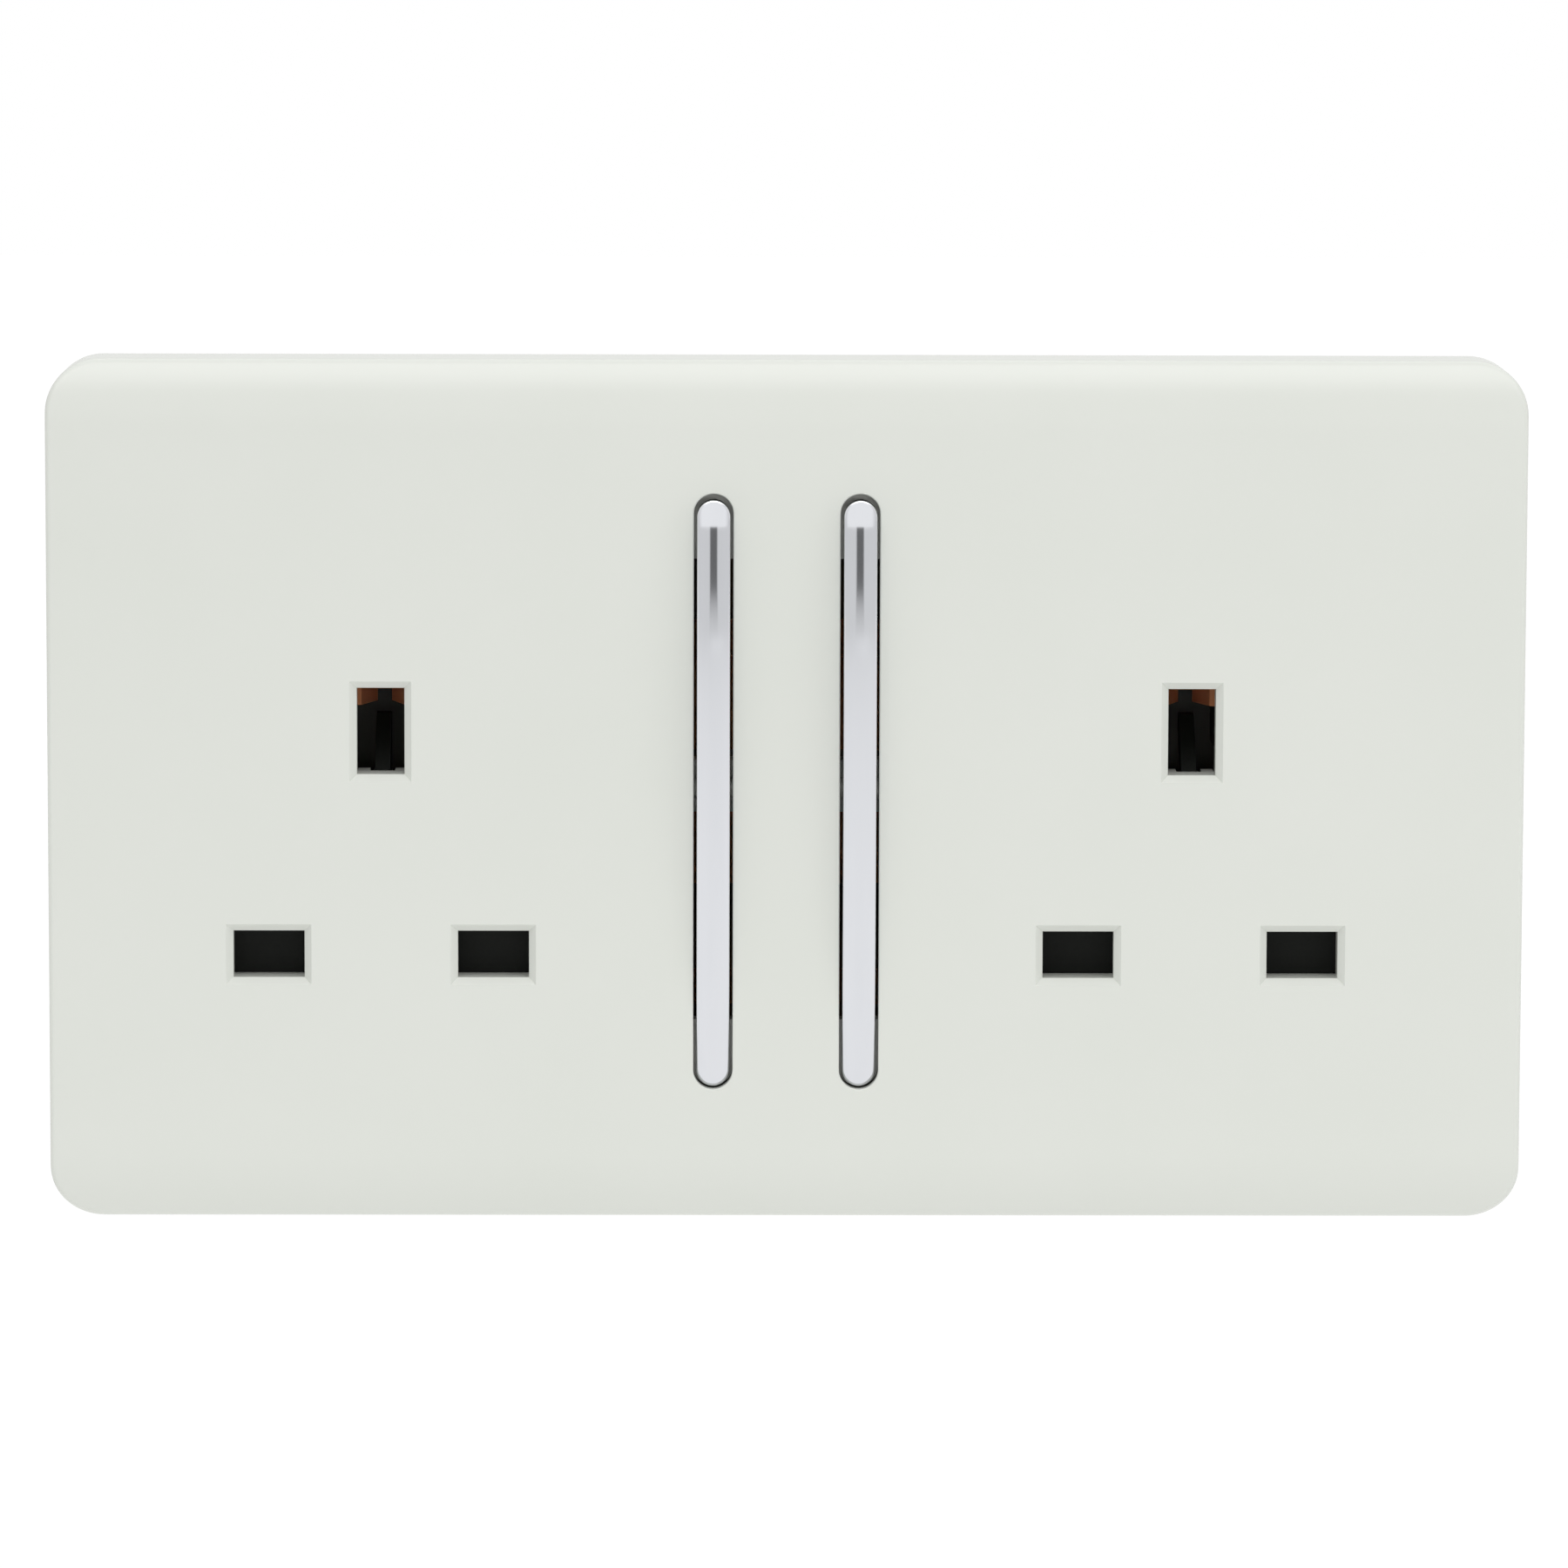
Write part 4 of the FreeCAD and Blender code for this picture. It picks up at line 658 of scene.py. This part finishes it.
# %% Put the finishes on
slot_finishes = {"cover_plastic": gloss_white, "frame_plastic": inner_white,
                 "shutter_plastic": shutter_black, "chrome": bright_chrome,
                 "copper_strip": rolled_copper, "brass": turned_brass, "silver_tip": silver_alloy,
                 "screw_steel": zinc_plate, "spring_steel": drawn_wire}
materials = {slot: finish_material(maker.__name__, maker) for slot, maker in slot_finishes.items()}
for part in frame["record"]["subparts"]:
    mesh = nodes[part["node"]].data
    mesh.materials.clear()
    mesh.materials.append(materials[part["material_slot"]])
cover.data.materials.append(materials["cover_plastic"])
for bar in bars.values():
    bar.data.materials.append(materials["chrome"])
for spring in springs:
    spring.data.materials.append(materials["spring_steel"])
print(len(materials), "finishes on", len(nodes), "nodes")

# %% [markdown]
# The portrait is set on a white table that runs a long way forward. It dims with distance, in a
# narrow wedge that opens from the socket towards the camera. The bowed bars mirror that wedge, and
# it is the dark streak on each of them. A black card on a plain table would do the same, but its
# edges would show. Most of the table's brightness is a glow, so it stays white in the picture. The
# rest is lit by the lamps, which keeps the faint shadow under the socket.

# %% Table
table_front, table_back, table_side, table_gap, table_lines = -4.0, 1.6, 1.6, 0.02 * MM, 9
strip_narrow, strip_wide, strip_far, strip_near, side_share = 0.085, 0.15, -3.9, -0.1, 0.76
dim_light, table_light, dim_cloth, white_cloth = 0.17, 1.1, 0.05, 0.8
glow_share, plain_share = 0.75, 0.11


def seen_plainly(finish):
    """One for rays that look straight, in a mirror or through glass at the stage, else nothing."""
    rays = [finish.node("ShaderNodeLightPath", {}, {}, output)
            for output in ("Is Camera Ray", "Is Glossy Ray", "Is Transmission Ray")]
    return finish.sum_up("MAXIMUM", finish.sum_up("MAXIMUM", rays[0], rays[1]), rays[2])


table_x, table_y = np.meshgrid(np.linspace(-table_side, table_side, table_lines),
                               np.linspace(table_front, table_back, table_lines))
table_points = lift(table_x, cad_box[0][2] - table_gap, -table_y)
table_mesh = bpy.data.meshes.new("table")
table_mesh.from_pydata(table_points.reshape(-1, 3).tolist(), [],
                       grid_cells(table_lines, table_lines, False).tolist())
table = bpy.data.objects.new("table", table_mesh)
bpy.context.scene.collection.objects.link(table)

cloth = Finish(bpy.data.materials.new("white_table"))
table_across, table_along = cloth.along_axes(cloth.place(), "XY")
near = cloth.node("ShaderNodeMapRange", {}, {
    "Value": table_along, "From Min": strip_far, "From Max": strip_near})
slant = cloth.sum_up("DIVIDE", cloth.size(table_across), cloth.size(table_along))
bright = cloth.sum_up("MAXIMUM", near, side_share * cloth.ramp(slant, strip_narrow, strip_wide))
diffuse = cloth.node("ShaderNodeBsdfDiffuse", {}, {
    "Color": cloth.blend(bright, grey(dim_cloth), grey(white_cloth))})
glow = cloth.node("ShaderNodeEmission", {}, {
    "Color": cloth.blend(bright, grey(dim_light), grey(table_light))})
surface = cloth.node("ShaderNodeMixShader", {}, {
    0: glow_share + plain_share * seen_plainly(cloth), 1: diffuse, 2: glow})
cloth.node("ShaderNodeOutputMaterial", {}, {"Surface": surface})
table_mesh.materials.append(cloth.owner)
print(f"table {2 * table_side:.1f} m wide, {-table_front:.1f} m towards the camera")

# %% [markdown]
# The room round the table is the world. The camera sees it as plain white. Mirrors see a pale room
# that is lighter higher up, with a bright ceiling, a bright card above the camera, and the end of the
# dim wedge at the level of the table. Panels and lamps could build that room, but a few smooth steps
# of the direction in which a ray looks are enough. Each pair below bounds such a step. For dull
# surfaces the room is darkened, so that the soft boxes shape the light and colours render about as
# they are written.

# %% World light
room_light, high_light, top_light, card_light, shaded_share = 0.81, 1.0, 2.4, 1.09, 0.6
strip_height, card_width, card_foot, card_head = (0.1, 0.06), (0.5, 0.35), (0.05, 0.1), (0.4, 0.3)
room_rise, ceiling = (0.1, 0.5), (0.6, 0.85)
world = bpy.data.worlds.new("studio")
bpy.context.scene.world = world
studio = Finish(world)
look_across, look_along, look_up = studio.along_axes(studio.place("Generated"))
sideways = studio.size(look_across)
towards_camera = studio.sum_up("LESS_THAN", look_along, 0.0)
dim_side = (towards_camera * studio.ramp(sideways, strip_wide, strip_narrow)
            * studio.ramp(studio.size(look_up), *strip_height))
card = (towards_camera * studio.ramp(sideways, *card_width) * studio.ramp(look_up, *card_foot)
        * studio.ramp(look_up, *card_head))
room = studio.blend(studio.ramp(look_up, *room_rise), grey(room_light), grey(high_light))
room = studio.blend(studio.ramp(look_up, *ceiling), room, grey(top_light))
surround = studio.blend(dim_side, studio.blend(card, room, grey(card_light)), grey(dim_light))
straight_look, dull_look = [studio.node("ShaderNodeLightPath", {}, {}, kind)
                            for kind in ("Is Camera Ray", "Is Diffuse Ray")]
shaded = studio.blend(shaded_share * dull_look, surround, grey(0.0))
background = studio.node("ShaderNodeBackground", {}, {
    "Color": studio.blend(straight_look, shaded, grey(1.0)), "Strength": 1.0})
studio.node("ShaderNodeOutputWorld", {}, {"Surface": background})
print(f"room from {room_light} to {high_light}, ceiling {top_light}")

# %% [markdown]
# One large soft box hangs in front and above. It lights the rolled top edge a little more than the
# face, and its reflection there is the pale band that runs across the top of the cover. A second
# fills in from the right. A small third one stands low behind the camera, where the bars throw
# little shade on the face, and shines straight into the apertures. Those two are kept out of
# mirrors, so that they leave no spots on the chrome.

# %% Lamps
def soft_box(name, place, size, radiance, mirrored):
    """Rectangular lamp that faces the socket; its power is the radiance times its area and pi."""
    lamp = bpy.data.lights.new(name, "AREA")
    lamp.shape = "RECTANGLE"
    lamp.size, lamp.size_y = size
    lamp.energy = radiance * size[0] * size[1] * math.pi
    holder = bpy.data.objects.new(name, lamp)
    holder.location = place
    holder.rotation_euler = (-Vector(place)).to_track_quat("-Z", "Y").to_euler()
    holder.visible_glossy = mirrored
    bpy.context.scene.collection.objects.link(holder)
    print(f"{name}: {lamp.energy:.2f} W")


soft_box("soft_box_top", place=(0.0, -0.55, 0.75), size=(1.0, 0.5), radiance=1.45, mirrored=True)
soft_box("soft_box_right", place=(0.9, -0.5, 0.25), size=(0.4, 0.7), radiance=1.2, mirrored=False)
soft_box("soft_box_front", place=(0.1, -1.0, 0.06), size=(0.4, 0.09), radiance=12.0, mirrored=False)

# %% [markdown]
# The camera stands about 0.83 m away with a long lens, a little above the socket. Its place was
# worked out from the pin apertures, whose spacing is standard: their pixel places in the photograph
# give the lens, the distance and all three angles.

# %% Camera
frame_pixels, lens_pixels, sensor = 1800, 9624.0, 36.0
aim, distance = Vector((-0.24 * MM, -depth, 0.9 * MM)), 828.6 * MM
pitch, yaw, roll = math.radians(6.994), math.radians(-0.624), math.radians(0.162)
camera_data = bpy.data.cameras.new("portrait")
camera_data.sensor_width = sensor
camera_data.lens = sensor * lens_pixels / frame_pixels
camera = bpy.data.objects.new("portrait", camera_data)
bpy.context.scene.collection.objects.link(camera)
facing = (Matrix.Rotation(yaw, 4, "Z") @ Matrix.Rotation(math.pi / 2 - pitch, 4, "X")
          @ Matrix.Rotation(roll, 4, "Z"))
camera.matrix_world = Matrix.Translation(aim + distance * (facing @ Vector((0, 0, 1)))) @ facing
bpy.context.scene.camera = camera
bpy.context.scene.view_settings.view_transform = "Standard"
print(f"lens {camera_data.lens:.1f} mm")
